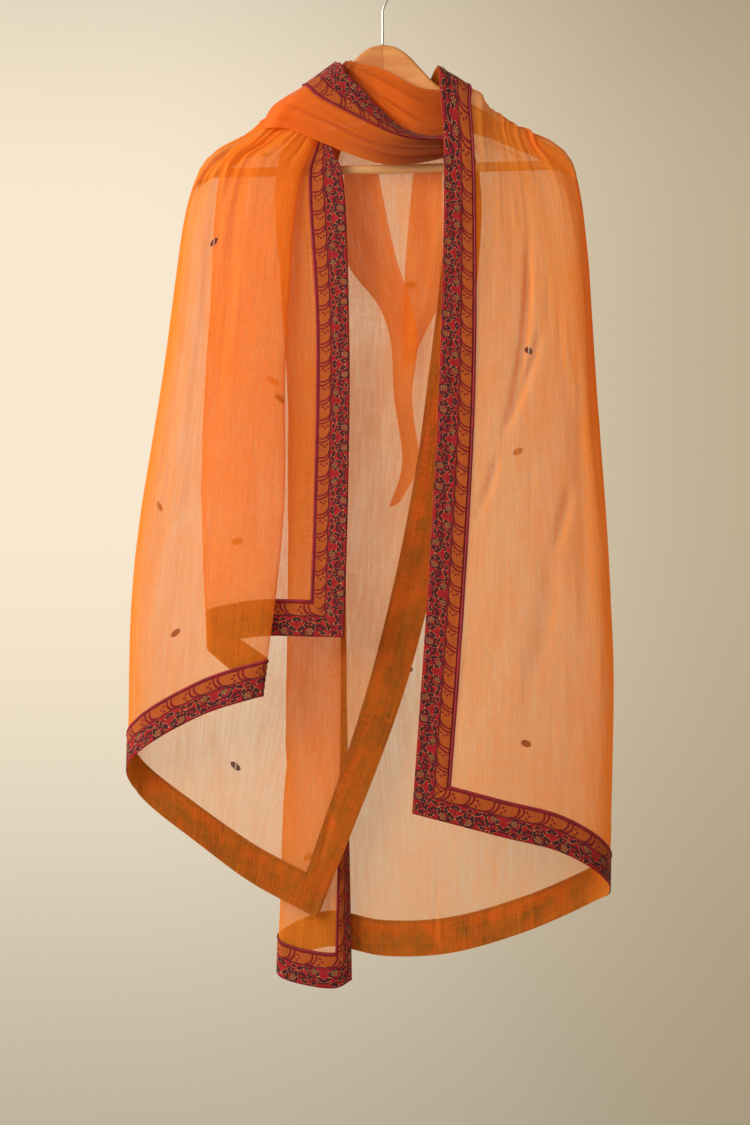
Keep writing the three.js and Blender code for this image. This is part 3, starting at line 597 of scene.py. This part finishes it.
def foldLine(fold):
    # one fold's points from neck to hem, in mm
    wayOver = fold[5] if len(fold) > 5 else {}
    neck, shoulder, hem = (np.array([p[0], p[1], -p[2]], float) for p in (fold[0], fold[1], fold[4]))
    crest = neck + foldShares["crest"] * (shoulder - neck)
    past = neck + foldShares["past"] * (shoulder - neck)
    if "over" in wayOver:
        crest = crestSpot(wayOver["over"][0], wayOver["over"][1], wayOver.get("lift", 0))
        past = crest + foldShares["pastCrest"] * (shoulder - crest)
        past[1] = crest[1] + foldShares["pastCrestBack"] * (shoulder[1] - crest[1])
    if "tip" in wayOver:
        past = crestSpot(wayOver["tip"], 0, 0)
    chest = shoulder + (hem - shoulder) / 3
    low = shoulder + (hem - shoulder) * 2 / 3
    chest[:2] = fold[2]
    low[:2] = fold[3]
    return [neck, crest, past, shoulder, chest, low, hem]


def normalsOf(grid):
    across = np.gradient(grid, axis=1)
    down = np.gradient(grid, axis=0)
    normal = np.cross(across, down)
    return normal / np.maximum(np.linalg.norm(normal, axis=-1, keepdims=True), 1e-12)


def evenly(lengths, count):
    # places along a run, an even distance apart
    total = np.concatenate([[0], np.cumsum(lengths)])
    return np.interp(np.linspace(0, total[-1], count), total, np.arange(total.size))


# how soon a crease swells and dies away, as shares of its length; an open one starts at full depth
fades = {"swell": 0.3, "taper": 0.45, "openTaper": 0.6, "openBefore": 0.3}


def creased(grid, flat, creases, seed, fine):
    # soft ridges and troughs laid on a grid: flat holds each point's place on the uncut cloth, in metres
    rise = np.zeros(grid.shape[:2])
    for start, stop, wide, deep, *rest in creases:
        extra = rest[0] if rest else {}
        run = np.subtract(stop, start)
        long = np.hypot(*run)
        away = flat - start
        share = (away @ run) / long ** 2
        side = (away[..., 0] * run[1] - away[..., 1] * run[0]) / long
        side = side + extra.get("bow", 0) * (4 * share * (1 - share))
        fade = np.clip(share / fades["swell"], 0, 1) * np.clip((1 - share) / fades["taper"], 0, 1)
        if extra.get("open"):
            fade = np.clip((1 - share) / fades["openTaper"], 0, 1) * (share > -fades["openBefore"])
        fade = fade * fade * (3 - 2 * fade)
        rise += deep * fade * np.exp(-(side / wide) ** 2)
    draw = np.random.default_rng(seed)
    width, height = flat[..., 0].max(), flat[..., 1].max()
    for _ in range(fine["count"]):
        at = draw.uniform((0, 0), (width, height))
        long = draw.uniform(*fine["long"])
        wide = draw.uniform(*fine["wide"])
        deep = draw.normal() * fine["deep"]
        lean = draw.normal() * fine["lean"]
        along = (flat[..., 1] - at[1]) / long
        side = (flat[..., 0] - at[0] - lean * (flat[..., 1] - at[1])) / wide
        near = (np.abs(along) < 1) & (np.abs(side) < 3)
        rise[near] += deep * (1 - along[near] ** 2) ** 2 * np.exp(-side[near] ** 2)
    return grid + normalsOf(grid) * rise[..., None]


# pieces from grids

def gridPiece(name, grid, flat, materials, outward=1, marks=None):
    # a mesh grid whose points are set to a grid of places; flat is written as its UV map, in metres,
    # and marks are the numbers that each point carries
    rows, columns = grid.shape[:2]
    bpy.ops.object.select_all(action="DESELECT")
    bpy.ops.mesh.primitive_grid_add(x_subdivisions=columns - 1, y_subdivisions=rows - 1, size=1)
    piece = bpy.context.object
    piece.name = piece.data.name = name
    mesh = piece.data
    mesh.vertices.foreach_set("co", grid.reshape(-1).astype(np.float32))
    loops = np.empty(len(mesh.loops), np.int32)
    mesh.loops.foreach_get("vertex_index", loops)
    mesh.uv_layers[0].name = "UVMap"
    mesh.uv_layers[0].data.foreach_set("uv", flat.reshape(-1, 2)[loops].reshape(-1).astype(np.float32))
    for key, values in (marks or {}).items():
        stored = mesh.attributes.new(key, "FLOAT", "POINT")
        stored.data.foreach_set("value", values.reshape(-1).astype(np.float32))
    if outward < 0:
        mesh.flip_normals()
    mesh.polygons.foreach_set("use_smooth", np.ones(len(mesh.polygons), bool))
    for material in materials:
        mesh.materials.append(material)
    mesh.update()
    return piece


def thicken(piece, thickness, reverseSlot):
    wall = piece.modifiers.new("wall", "SOLIDIFY")
    wall.thickness = thickness
    wall.offset = 0
    wall.material_offset = reverseSlot
    bpy.context.view_layer.objects.active = piece
    bpy.ops.object.modifier_apply(modifier=wall.name)


def settle(piece, replaced):
    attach(piece, "root")
    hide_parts(replaced)


def readGrid(grid, row, column):
    i = np.clip(np.floor(row).astype(int), 0, grid.shape[0] - 2)
    j = np.clip(np.floor(column).astype(int), 0, grid.shape[1] - 2)
    down, over = (row - i)[..., None], (column - j)[..., None]
    upper = grid[i, j] * (1 - over) + grid[i, j + 1] * over
    lower = grid[i + 1, j] * (1 - over) + grid[i + 1, j + 1] * over
    return upper * (1 - down) + lower * down


# the two hanging ends

fineCrinkle = {"count": 800, "long": (0.02, 0.09), "wide": (0.0022, 0.006), "deep": 0.0006, "lean": 0.05}
gathers = {"from": 0.03, "to": 0.73, "drift": 0.006, "long": (0.12, 0.36), "lean": 0.012,
           "wide": (0.004, 0.008), "deep": (0.0012, 0.0040)}
hemPlace = 6     # where the hem is along a fold line: neck, crest, past, shoulder, chest, low, hem
rough = {"across": 600, "down": 240, "measureFrom": 150}     # the grid that the real one is spaced by

leftEnd = {
    "folds": [  # neck, shoulder, chest, low, hem, and where it crosses the wood
        ((-66, -13, 204), (-48, -17, 245), (-39, -19), (-40, -23), (-45, -27, 794)),
        ((-72, -12, 200), (-86, -15, 243), (-78, -17), (-80, -21), (-86, -26, 793)),
        ((-80, -11, 194), (-124, -13, 238), (-140, -16), (-146, -20), (-146, -26, 793)),
        ((-92, -11, 184), (-177, -12, 224), (-199, -16), (-208, -20), (-202, -26, 804)),
        ((-94, -13.5, 183), (-181, -15, 223), (-203, -20), (-212, -24.5), (-206, -30.5, 807)),
        ((-91, -16, 184), (-177, -18, 225), (-199, -24), (-208, -29), (-201, -35, 812)),
        ((-84, -16, 190), (-140, -18, 236), (-160, -25), (-166, -30), (-172, -36, 836)),
        ((-78, -16, 197), (-100, -19, 246), (-118, -26), (-121, -31), (-144, -37, 858)),
        ((-76, -18, 199), (-96, -22, 247), (-113, -29), (-116, -34), (-140, -40, 862)),
        ((-79, -20, 196), (-101, -25, 245), (-118, -32), (-121, -37.5), (-144, -43, 863)),
        ((-92, -20, 182), (-150, -25, 232), (-176, -33), (-194, -38), (-210, -42, 884)),
        ((-106, -13, 168), (-206, -13, 250), (-243, -22), (-274, -26), (-284, -26, 927),
         {"over": (-158, -12), "lift": -6}),
        ((-110, -1, 162), (-224, 0, 262), (-260, -3), (-293, -4), (-301, -5, 951),
         {"over": (-165, 0), "tip": -207}),
        ((-104, 11, 164), (-206, 12, 244), (-243, 15), (-274, 17), (-285, 16, 985),
         {"over": (-152, 12), "lift": -6}),
        ((-96, 11, 162), (-152, 13, 214), (-172, 18), (-194, 22), (-218, 24, 1041),
         {"over": (-124, 12), "lift": -8}),
        ((-84, 11, 156), (-72, 14, 200), (-72, 20), (-96, 25), (-158, 28, 1086)),
        ((-52, 11, 152), (66, 15, 206), (52, 21), (-6, 26), (-104, 30, 1116)),
        ((-46, 11, 152), (106, 15, 218), (94, 22), (36, 27), (-77, 31, 1130)),
    ],
    "outward": 1,
    # the fold that it is densest at, how far to each side in metres, and by how much
    "denser": [(12, 0.030, 0.5)],
    "seed": 11,
    "gathers": 45,
    # where each starts and stops, across from the front edge and up from the hem, its width and depth
    "creases": [
        ((0.400, 0.70), (0.385, 0.10), 0.012, 0.0022, {"open": True}),
        ((0.445, 0.66), (0.430, 0.22), 0.008, -0.0016, {"open": True}),
        ((0.345, 0.66), (0.350, 0.18), 0.010, -0.0018, {"open": True}),
        ((0.480, 0.42), (0.470, 0.05), 0.016, 0.0026),
        ((0.520, 0.55), (0.515, 0.10), 0.014, -0.0026),
        ((0.560, 0.30), (0.590, 0.04), 0.012, 0.0022),
        ((0.640, 0.62), (0.650, 0.22), 0.012, 0.0024, {"bow": 0.01}),
        ((0.690, 0.52), (0.640, 0.30), 0.007, 0.0022, {"bow": -0.008}),
        ((0.610, 0.20), (0.655, 0.10), 0.009, -0.0018),
        ((0.120, 0.52), (0.118, 0.12), 0.009, 0.0010),
    ],
}

rightEnd = {
    "folds": [  # neck, shoulder, chest, low, hem, and where it crosses the wood
        ((42, 27, 168), (71, -33, 222), (66, -36), (52, -38), (34, -40, 999), {"over": (64, 0), "lift": 17}),
        ((48, 27, 170), (107, -30, 232), (108, -34), (95, -37), (76, -39, 1010),
         {"over": (100, 0), "lift": 14}),
        ((56, 26, 172), (148, -20, 242), (156, -29), (152, -34), (140, -37, 1027),
         {"over": (134, 0), "lift": 3}),
        ((64, 25, 172), (186, -15, 250), (206, -24), (214, -29), (208, -31, 1045), {"over": (160, 0)}),
        ((70, 24, 170), (214, -13, 254), (242, -17), (258, -20), (254, -20, 1072),
         {"over": (172, -2), "lift": -1}),
        ((74, 22, 168), (230, 0, 252), (255, 1), (272, 3), (268, 5, 1095), {"over": (180, 0), "tip": 210}),
        ((72, 20, 172), (214, 13, 258), (241, 20), (257, 26), (250, 28, 1110),
         {"over": (170, 12), "lift": -7}),
        ((64, 20, 178), (150, 20, 226), (164, 29), (172, 37), (172, 43, 1147)),
        ((52, 23, 180), (76, 31, 214), (74, 43), (74, 51), (79, 56, 1175)),
        ((38, 22, 178), (0, 34, 206), (-8, 52), (-12, 60), (2, 63, 1179)),
        ((28, 24, 176), (-66, 35, 206), (-68, 53), (-68, 62), (-66, 64, 1168)),
        ((22, 26, 174), (-108, 30, 208), (-109, 50), (-111, 58), (-121, 60, 1190)),
        ((20, 28.5, 173), (-112, 27, 210), (-113, 45), (-115, 53), (-126, 55, 1196)),
        ((22, 31, 172), (-108, 24, 211), (-109, 40), (-111, 47), (-121, 50, 1203)),
        ((26, 33, 172), (-64, 24, 212), (-53, 32), (-50, 37), (-57, 44, 1215)),
        ((36, 37, 166), (-48, 31, 212), (-46, 47), (-44, 55), (-37, 52, 1206)),
    ],
    "outward": -1,
    "denser": [(5, 0.045, 1.0), (11, 0.040, 0.5), (14, 0.040, 0.5)],
    "seed": 23,
    "gathers": 39,
    "creases": [
        ((0.132, 0.73), (0.072, 0.43), 0.0065, 0.0085, {"bow": 0.014}),
        ((0.152, 0.62), (0.070, 0.45), 0.0055, 0.0070, {"bow": 0.006}),
        ((0.082, 0.45), (0.048, 0.35), 0.005, 0.0062),
        ((0.185, 0.44), (0.150, 0.33), 0.007, 0.0075),
        ((0.150, 0.36), (0.122, 0.16), 0.012, 0.0060, {"bow": 0.01}),
        ((0.044, 0.69), (0.062, 0.675), 0.004, 0.0018),
        ((0.044, 0.37), (0.064, 0.355), 0.004, 0.0018),
        ((0.205, 0.62), (0.195, 0.20), 0.015, 0.0050),
        ((0.240, 0.80), (0.222, 0.46), 0.008, 0.0060, {"bow": 0.01}),
        ((0.060, 0.22), (0.110, 0.18), 0.004, 0.0024),
        ((0.110, 0.30), (0.105, 0.08), 0.014, -0.0026),
        ((0.380, 0.55), (0.360, 0.10), 0.016, 0.0030),
        ((0.440, 0.70), (0.455, 0.25), 0.012, -0.0026, {"bow": 0.012}),
        ((0.330, 0.34), (0.300, 0.16), 0.008, 0.0026),
        ((0.520, 0.60), (0.500, 0.20), 0.014, 0.0026),
        ((0.690, 0.40), (0.700, 0.06), 0.010, 0.0024),
        ((0.655, 0.28), (0.690, 0.18), 0.007, 0.0026),
    ],
}


def endCreases(end, tall):
    # the gathers that run down from the neck, uneven in place, length and depth
    draw = np.random.default_rng(end["seed"] + 100)
    found = list(end["creases"])
    for at in np.linspace(gathers["from"], gathers["to"], end["gathers"]):
        at = at + draw.uniform(-gathers["drift"], gathers["drift"])
        reach = draw.uniform(*gathers["long"])
        found.append(((at, tall), (at + draw.normal() * gathers["lean"], tall - reach),
                      draw.uniform(*gathers["wide"]),
                      draw.choice([-1, 1]) * draw.uniform(*gathers["deep"]), {"open": True}))
    return found


def makeEnd(end):
    # a dense grid on the loft, its place on the flat cloth, and how many layers each spot is gathered into
    lines = np.array([foldLine(fold) for fold in end["folds"]])
    last = len(lines) - 1

    def surface(across, down):
        rows = np.moveaxis(readRow(lines, down), 0, 1)
        return clearOfWood(readRow(rows, across), cloth["clear"], cloth["clear"])

    first = surface(np.linspace(0, last, rough["across"]), np.linspace(0, hemPlace, rough["down"]))
    width = np.linalg.norm(np.diff(first, axis=1), axis=-1)[rough["measureFrom"]:]
    height = np.linalg.norm(np.diff(first, axis=0), axis=-1)
    across = evenly(width.mean(axis=0), cloth["columns"]) * last / (rough["across"] - 1)
    rowCount = int(height.sum(axis=0).mean() * mm / cloth["rowStep"])
    down = evenly(height.mean(axis=1), rowCount) * hemPlace / (rough["down"] - 1)
    grid = surface(across, down) * mm
    seams = np.interp([1, last - 1], across, np.arange(across.size))
    wide = np.concatenate([[0], np.cumsum(np.linalg.norm(np.diff(grid[-1], axis=0), axis=-1))])
    wide *= cloth["width"] / wide[-1]
    steps = np.linalg.norm(np.diff(grid, axis=0), axis=-1)
    tall = np.concatenate([np.cumsum(steps[::-1], axis=0)[::-1], np.zeros((1, across.size))])
    flat = np.stack([np.broadcast_to(wide, tall.shape), tall], -1)
    spread = np.linalg.norm(np.gradient(grid, axis=1), axis=-1)
    layers = np.clip(np.gradient(wide)[None, :] / np.maximum(spread, 1e-6), *cloth["density"])
    # where the end is doubled over, the cloth stands nearly edge-on and reads denser
    for fold, reach, more in end["denser"]:
        aside = wide - np.interp(fold, across, wide)
        layers = layers * (1 + more * np.exp(-(aside / reach) ** 2))[None, :]
    span = np.linalg.norm(surface(across, np.array([hemPlace - 1.0]))[0] * mm - grid[-1], axis=-1)
    grid = creased(grid, flat, endCreases(end, tall.mean(axis=1)[0]), end["seed"], fineCrinkle)
    grid = clearOfWood(grid / mm, *cloth["clearCreased"]) * mm
    return {"grid": grid, "flat": flat, "layers": layers, "seams": seams, "normals": normalsOf(grid),
            "span": span, "down": down, "outward": end["outward"]}


def riseOf(part, inward):
    # how far a trim stands off the cloth, from its outer edge to its inner one
    share = (inward - part["from"]) / (part["to"] - part["from"])
    return part["rise"] + part["dome"] * np.sin(np.pi * share)


def stripPiece(name, spots, normals, along, inward, part, replaced):
    flat = np.stack([along, np.broadcast_to(inward[:, None], along.shape)], -1)
    facing = np.sum(normalsOf(spots) * normals)
    piece = gridPiece(name, spots, flat, part["materials"], 1 if facing > 0 else -1)
    thicken(piece, part["thick"], len(part["materials"]) - 1)
    settle(piece, replaced)
    return piece


def trimPiece(name, base, side, part, replaced):
    # a strip that lies on an end along one of its edges, with mitred corners at the hem
    grid, band = base["grid"], cloth["band"]
    lastColumn, lastRow = grid.shape[1] - 1, grid.shape[0] - 1
    inward = np.linspace(part["from"], part["to"], part["steps"] + 1)
    firstSeam, lastSeam = base["seams"]

    def rowAbove(column, above):
        # the row that is a distance above the hem, with the distances measured as in the solid
        near = np.interp(column, np.arange(lastColumn + 1), base["span"])
        return np.interp(hemPlace - above / near, base["down"], np.arange(lastRow + 1))

    if side == "hem":
        share = np.linspace(0, 1, cloth["hemColumns"])
        first = inward * firstSeam / band
        final = lastColumn - inward * (lastColumn - lastSeam) / band
        column = first[:, None] + share[None, :] * (final - first)[:, None]
        row = rowAbove(column, np.broadcast_to(inward[:, None], column.shape))
        along = column / lastColumn * cloth["width"]
    else:
        neckward = cloth["backTrimFrom"] if side == "back" else 0
        start = np.interp(neckward, base["down"], np.arange(lastRow + 1))
        count = int((lastRow - start) * cloth["edgeFiner"])
        share = np.linspace(0, 1, count)
        edge, seam = (0, firstSeam) if side == "front" else (lastColumn, lastSeam)
        column = (edge + inward * (seam - edge) / band)[:, None] * np.ones(count)
        stop = rowAbove(column[:, 0], inward)
        row = start + share[None, :] * (stop - start)[:, None]
        along = row * cloth["rowStep"]
    spots = readGrid(grid, row, column)
    normals = readGrid(base["normals"], row, column) * base["outward"]
    spots = spots + normals * riseOf(part, inward)[:, None, None]
    return stripPiece(name, spots, normals, along, inward, part, replaced)


trims = {
    "border": {"from": 0.0002, "to": 0.0400, "steps": 14, "rise": 0.0012, "dome": 0.0, "thick": 0.0007,
               "materials": [printFace, printReverse], "slot": "printed_border"},
    "piping": {"from": 0.0402, "to": 0.0431, "steps": 6, "rise": 0.0011, "dome": 0.0009, "thick": 0.0009,
               "materials": [pipingCloth], "slot": "maroon_piping"},
}

for sideName, end in (("left", leftEnd), ("right", rightEnd)):
    base = makeEnd(end)
    ground = gridPiece(sideName + "Ground", base["grid"], base["flat"], [sheerCrepe], end["outward"],
                       {"layers": base["layers"]})
    settle(ground, sideName + "_end")
    laid = []
    for trimName, part in trims.items():
        for edge in ("front", "hem", "back"):
            name = sideName + edge.capitalize() + trimName.capitalize()
            laid.append(trimPiece(name, base, edge, part, f"{sideName}_{edge}_{trimName}"))
    print(sideName, "end made:", base["grid"].shape, "mean length",
          round(float(base["flat"][0, :, 1].mean()), 3))


# the neck

# stations are points in mm, across, back and down; creases run along the stretch and then over it, in metres
neckPieces = {
    "frontWrap": {
        "replaces": "front_wrap", "along": 230, "over": 84, "layers": 6.0, "clear": 11.5,
        "outward": 1, "seed": 31,
        # how much painted shade each station carries, darkest at the right end
        "paintedShade": [0, 0, 0, 0, 0.03, 0.1, 0.25, 0.55, 0.8, 0.9],
        "rests": ["leftGround", "underWrap"],
        "stations": [
            [(-124, 20, 196), (-112, 24, 176), (-82, 22, 150), (-52, 17, 124)],
            [(-140, 14, 196), (-126, 18, 172), (-92, 16, 144), (-58, 14, 120)],
            [(-145, -2, 196), (-130, 0, 168), (-94, 0, 144), (-55, 0, 116)],
            [(-133, -27, 197), (-120, -29, 174), (-88, -21, 150), (-49, -9, 122)],
            [(-112, -27, 198), (-102, -32, 180), (-78, -26, 160), (-40, -14, 133)],
            [(-72, -28, 214), (-62, -36, 196), (-45, -31, 180), (-24, -18, 150)],
            [(-36, -28, 229), (-28, -38, 212), (-12, -33, 197), (-3, -21, 174)],
            [(2, -28, 240), (8, -37, 224), (20, -33, 210), (22, -21, 196)],
            [(36, -25, 239), (42, -31, 226), (48, -29, 214), (50, -20, 206)],
            [(80, -20, 230), (82, -23, 222), (84, -22, 212), (84, -17, 204)],
        ],
        "creases": [
            ((0.06, 0.021), (0.33, 0.015), 0.0045, 0.0036),
            ((0.02, 0.031), (0.29, 0.027), 0.0036, -0.0034),
            ((0.05, 0.048), (0.36, 0.044), 0.0055, 0.0052, {"bow": 0.003}),
            ((0.09, 0.0585), (0.34, 0.0575), 0.0028, -0.0030),
            ((0.10, 0.037), (0.24, 0.041), 0.0022, -0.0020),
            ((0.02, 0.010), (0.20, 0.006), 0.003, -0.0022),
        ],
    },
    "underWrap": {
        "replaces": "under_wrap", "along": 130, "over": 46, "layers": 5.0, "clear": 4.4,
        "outward": -1, "seed": 37,
        # how much painted shade each station carries
        "paintedShade": [0.9, 0.8, 0.3, 0.05, 0.1, 0.35, 0.5],
        "rests": ["hanger_left", "hanger_right"],
        "stations": [
            [(-42, 14, 122), (-46, 16, 132), (-50, 17, 142)],
            [(-44, 2, 114), (-52, 0, 124), (-58, -1, 135)],
            [(-30, -10, 119), (-32, -11.5, 135), (-34, -10.5, 152)],
            [(-8, -11, 123), (-6, -14, 150), (-2, -12, 184)],
            [(16, -11, 134), (20, -14, 164), (25, -12, 203)],
            [(42, -11, 147), (46, -14, 174), (51, -12, 213)],
            [(78, -10, 151), (80, -12, 174), (83, -10, 212)],
        ],
        "creases": [
            ((0.02, 0.010), (0.19, 0.018), 0.0035, -0.0034),
            ((0.01, 0.020), (0.18, 0.030), 0.0035, 0.0034),
            ((0.05, 0.033), (0.17, 0.038), 0.003, -0.0030),
            ((0.07, 0.024), (0.20, 0.044), 0.0026, -0.0024),
        ],
    },
    "backWrap": {
        "replaces": "back_wrap", "along": 110, "over": 40, "layers": 5.0, "clear": 4.4,
        "outward": 1, "seed": 41,
        "rests": ["hanger_left", "hanger_right"],
        "stations": [
            [(-106, 21, 172), (-108, 22, 184), (-108, 21, 198)],
            [(-60, 19, 138), (-60, 21, 160), (-60, 20, 188)],
            [(-20, 14, 122), (-18, 18, 150), (-16, 20, 182)],
            [(20, 14, 126), (20, 17, 148), (22, 18, 172)],
            [(66, 13, 150), (70, 14, 160), (74, 14, 172)],
        ],
        "creases": [
            ((0.02, 0.012), (0.19, 0.010), 0.005, 0.0022),
            ((0.02, 0.026), (0.17, 0.024), 0.005, -0.0020),
        ],
    },
    "crossFold": {
        "replaces": "cross_fold", "along": 190, "over": 34, "layers": 3.4, "clear": 4.4,
        "outward": 1, "seed": 43,
        "rests": ["backWrap"],
        "stations": [
            [(-46, 20, 240), (-26, 22, 240), (-6, 20, 240)],
            [(-44, 25, 345), (-14, 27, 342), (15, 25, 340)],
            [(-4, 27, 402), (14, 29, 400), (34, 27, 398)],
            [(9, 28, 440), (24, 30, 440), (42, 28, 440)],
            [(14, 30, 510), (24, 33, 510), (35, 31, 510)],
            [(23, 32, 590), (32, 35, 590), (42, 33, 590)],
            [(8, 33, 640), (14, 35, 638), (21, 34, 634)],
        ],
        "creases": [
            ((0.02, 0.016), (0.30, 0.012), 0.004, 0.0018),
            ((0.04, 0.030), (0.24, 0.020), 0.004, -0.0016),
        ],
    },
    "hangingFold": {
        "replaces": "hanging_fold", "along": 120, "over": 30, "layers": 3.0, "clear": 4.4,
        "outward": 1, "seed": 47,
        "rests": ["backWrap"],
        "stations": [
            [(37, 22, 236), (54, 24, 236), (71, 22, 236)],
            [(28, 31, 340), (50, 33, 340), (71, 31, 340)],
            [(25, 34, 400), (44, 36, 400), (66, 34, 400)],
            [(24, 35, 440), (34, 36.5, 438), (52, 35, 430)],
            [(25, 36, 475), (29, 37, 473), (34, 36, 470)],
        ],
        "creases": [
            ((0.02, 0.012), (0.20, 0.010), 0.004, 0.0016),
            ((0.03, 0.024), (0.18, 0.018), 0.003, -0.0014),
        ],
    },
}


neckCrinkle = {"count": 60, "long": (0.004, 0.012), "wide": (0.006, 0.02), "deep": 0.0002, "lean": 0.05}
neckRise = 1        # mm that a crease may take from the room left to the wood
gatherShare = 0.6   # how much cloth a gathered layer holds across


def makeStretch(name, stretch):
    # columns run along the stretch and rows across it
    stations = np.array(stretch["stations"], float) * (1, 1, -1)
    ribs = readRow(np.moveaxis(stations, 0, 1), np.linspace(0, len(stations) - 1, stretch["along"]))
    grid = np.moveaxis(readRow(np.moveaxis(ribs, 0, 1),
                               np.linspace(0, stations.shape[1] - 1, stretch["over"])), 0, 1)
    grid = clearOfWood(grid, stretch["clear"], stretch["clear"]) * mm
    along = np.linalg.norm(np.diff(grid, axis=1), axis=-1).mean(axis=0)
    over = np.linalg.norm(np.diff(grid, axis=0), axis=-1).mean(axis=1)
    along = np.concatenate([[0], np.cumsum(along)])
    over = np.concatenate([[0], np.cumsum(over)])
    flat = np.stack(np.meshgrid(along, over), -1)
    grid = creased(grid, flat, stretch["creases"], stretch["seed"], neckCrinkle)
    near = stretch["clear"] - neckRise
    grid = clearOfWood(grid / mm, near, near) * mm
    layers = np.full(grid.shape[:2], stretch["layers"])
    # painted shade along the stretch, read from its stations
    paintedShade = np.interp(np.linspace(0, 1, stretch["along"]), np.linspace(0, 1, len(stations)),
                       stretch.get("paintedShade", [0] * len(stations)))
    paintedShade = np.clip(paintedShade[None, :] * np.ones(grid.shape[:2]), 0, 1)
    # the crinkle runs along the stretch, which is gathered across
    cut = np.stack([flat[..., 1] * stretch["layers"] * gatherShare, flat[..., 0]], -1)
    piece = gridPiece(name, grid, cut, [sheerCrepe], stretch["outward"],
                      {"layers": layers, "paintedShade": paintedShade})
    settle(piece, stretch["replaces"])
    print(name, "made: along", round(float(along[-1]), 3), "over", round(float(over[-1]), 3))
    return piece, grid, (round(float(over[-1]), 3), round(float(along[-1]), 3))


neck = {name: makeStretch(name, stretch) for name, stretch in neckPieces.items()}


wrapEdge = {"long": 0.33, "depth": 3}     # how long its border is, and how many times as deep the wrap is


def wrapTrim(name, part, replaced):
    # the border on the upper edge of the front wrap
    grid = neck["frontWrap"][1]
    rows, columns = grid.shape[:2]
    inward = np.linspace(part["from"], part["to"], part["steps"] + 1)
    row = (rows - 1) * (1 - inward / cloth["band"] / wrapEdge["depth"])[:, None] * np.ones(columns)
    column = np.ones(inward.size)[:, None] * np.arange(columns)
    normals = readGrid(normalsOf(grid), row, column)
    spots = readGrid(grid, row, column) + normals * riseOf(part, inward)[:, None, None]
    along = np.broadcast_to(np.linspace(0, wrapEdge["long"], columns), column.shape)
    return stripPiece(name, spots, normals, along, inward, part, replaced)


wrapBorder = wrapTrim("wrapBorder", trims["border"], "front_wrap_border")
wrapPiping = wrapTrim("wrapPiping", trims["piping"], "front_wrap_piping")


# hanger finishes

def finishNode(name, material):
    if not nodes[name].material_slots:
        nodes[name].data.materials.append(material)
    for slot in nodes[name].material_slots:
        slot.material = material


def makeGlue():
    material, tree = startMaterial("glue line")
    tone = noiseOf(tree, objectPlace(tree), 400.0)
    colour = paint(tree, tint(132, 84, 44), tint(164, 108, 62), tone, 0.3, 0.7)
    finishMaterial(tree, surfaceOf(tree, colour, 0.6, {}))
    return material


# the thin line between the hanger's halves, in metres
glueLine = {"thick": 0.0007, "deep": 0.0114, "top": 0.0956, "bottom": 0.1806}


def makeGlueLine():
    top, bottom = glueLine["top"], glueLine["bottom"]
    bpy.ops.object.select_all(action="DESELECT")
    bpy.ops.mesh.primitive_cube_add(size=1, location=(0, 0, -(top + bottom) / 2),
                                    scale=(glueLine["thick"], glueLine["deep"], bottom - top))
    seam = bpy.context.object
    seam.name = seam.data.name = "glueLine"
    bpy.ops.object.transform_apply(location=True, rotation=True, scale=True)
    bpy.ops.object.mode_set(mode="EDIT")
    bpy.ops.mesh.select_all(action="SELECT")
    bpy.ops.transform.rotate(value=wood["tilt"], orient_axis="Y", center_override=(0, 0, -wood["drop"] * mm))
    bpy.ops.object.mode_set(mode="OBJECT")
    seam.data.materials.append(makeGlue())
    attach(seam, "root")


makeGlueLine()
finishNode("hanger_left", honeyWoodLeft)
finishNode("hanger_right", honeyWood)
finishNode("trouser_bar", paleWood)
finishNode("hook", hookSteel)


# the trims that go with each neck stretch

for name, stretch in neckPieces.items():
    laid = [wrapBorder, wrapPiping] if name == "frontWrap" else []
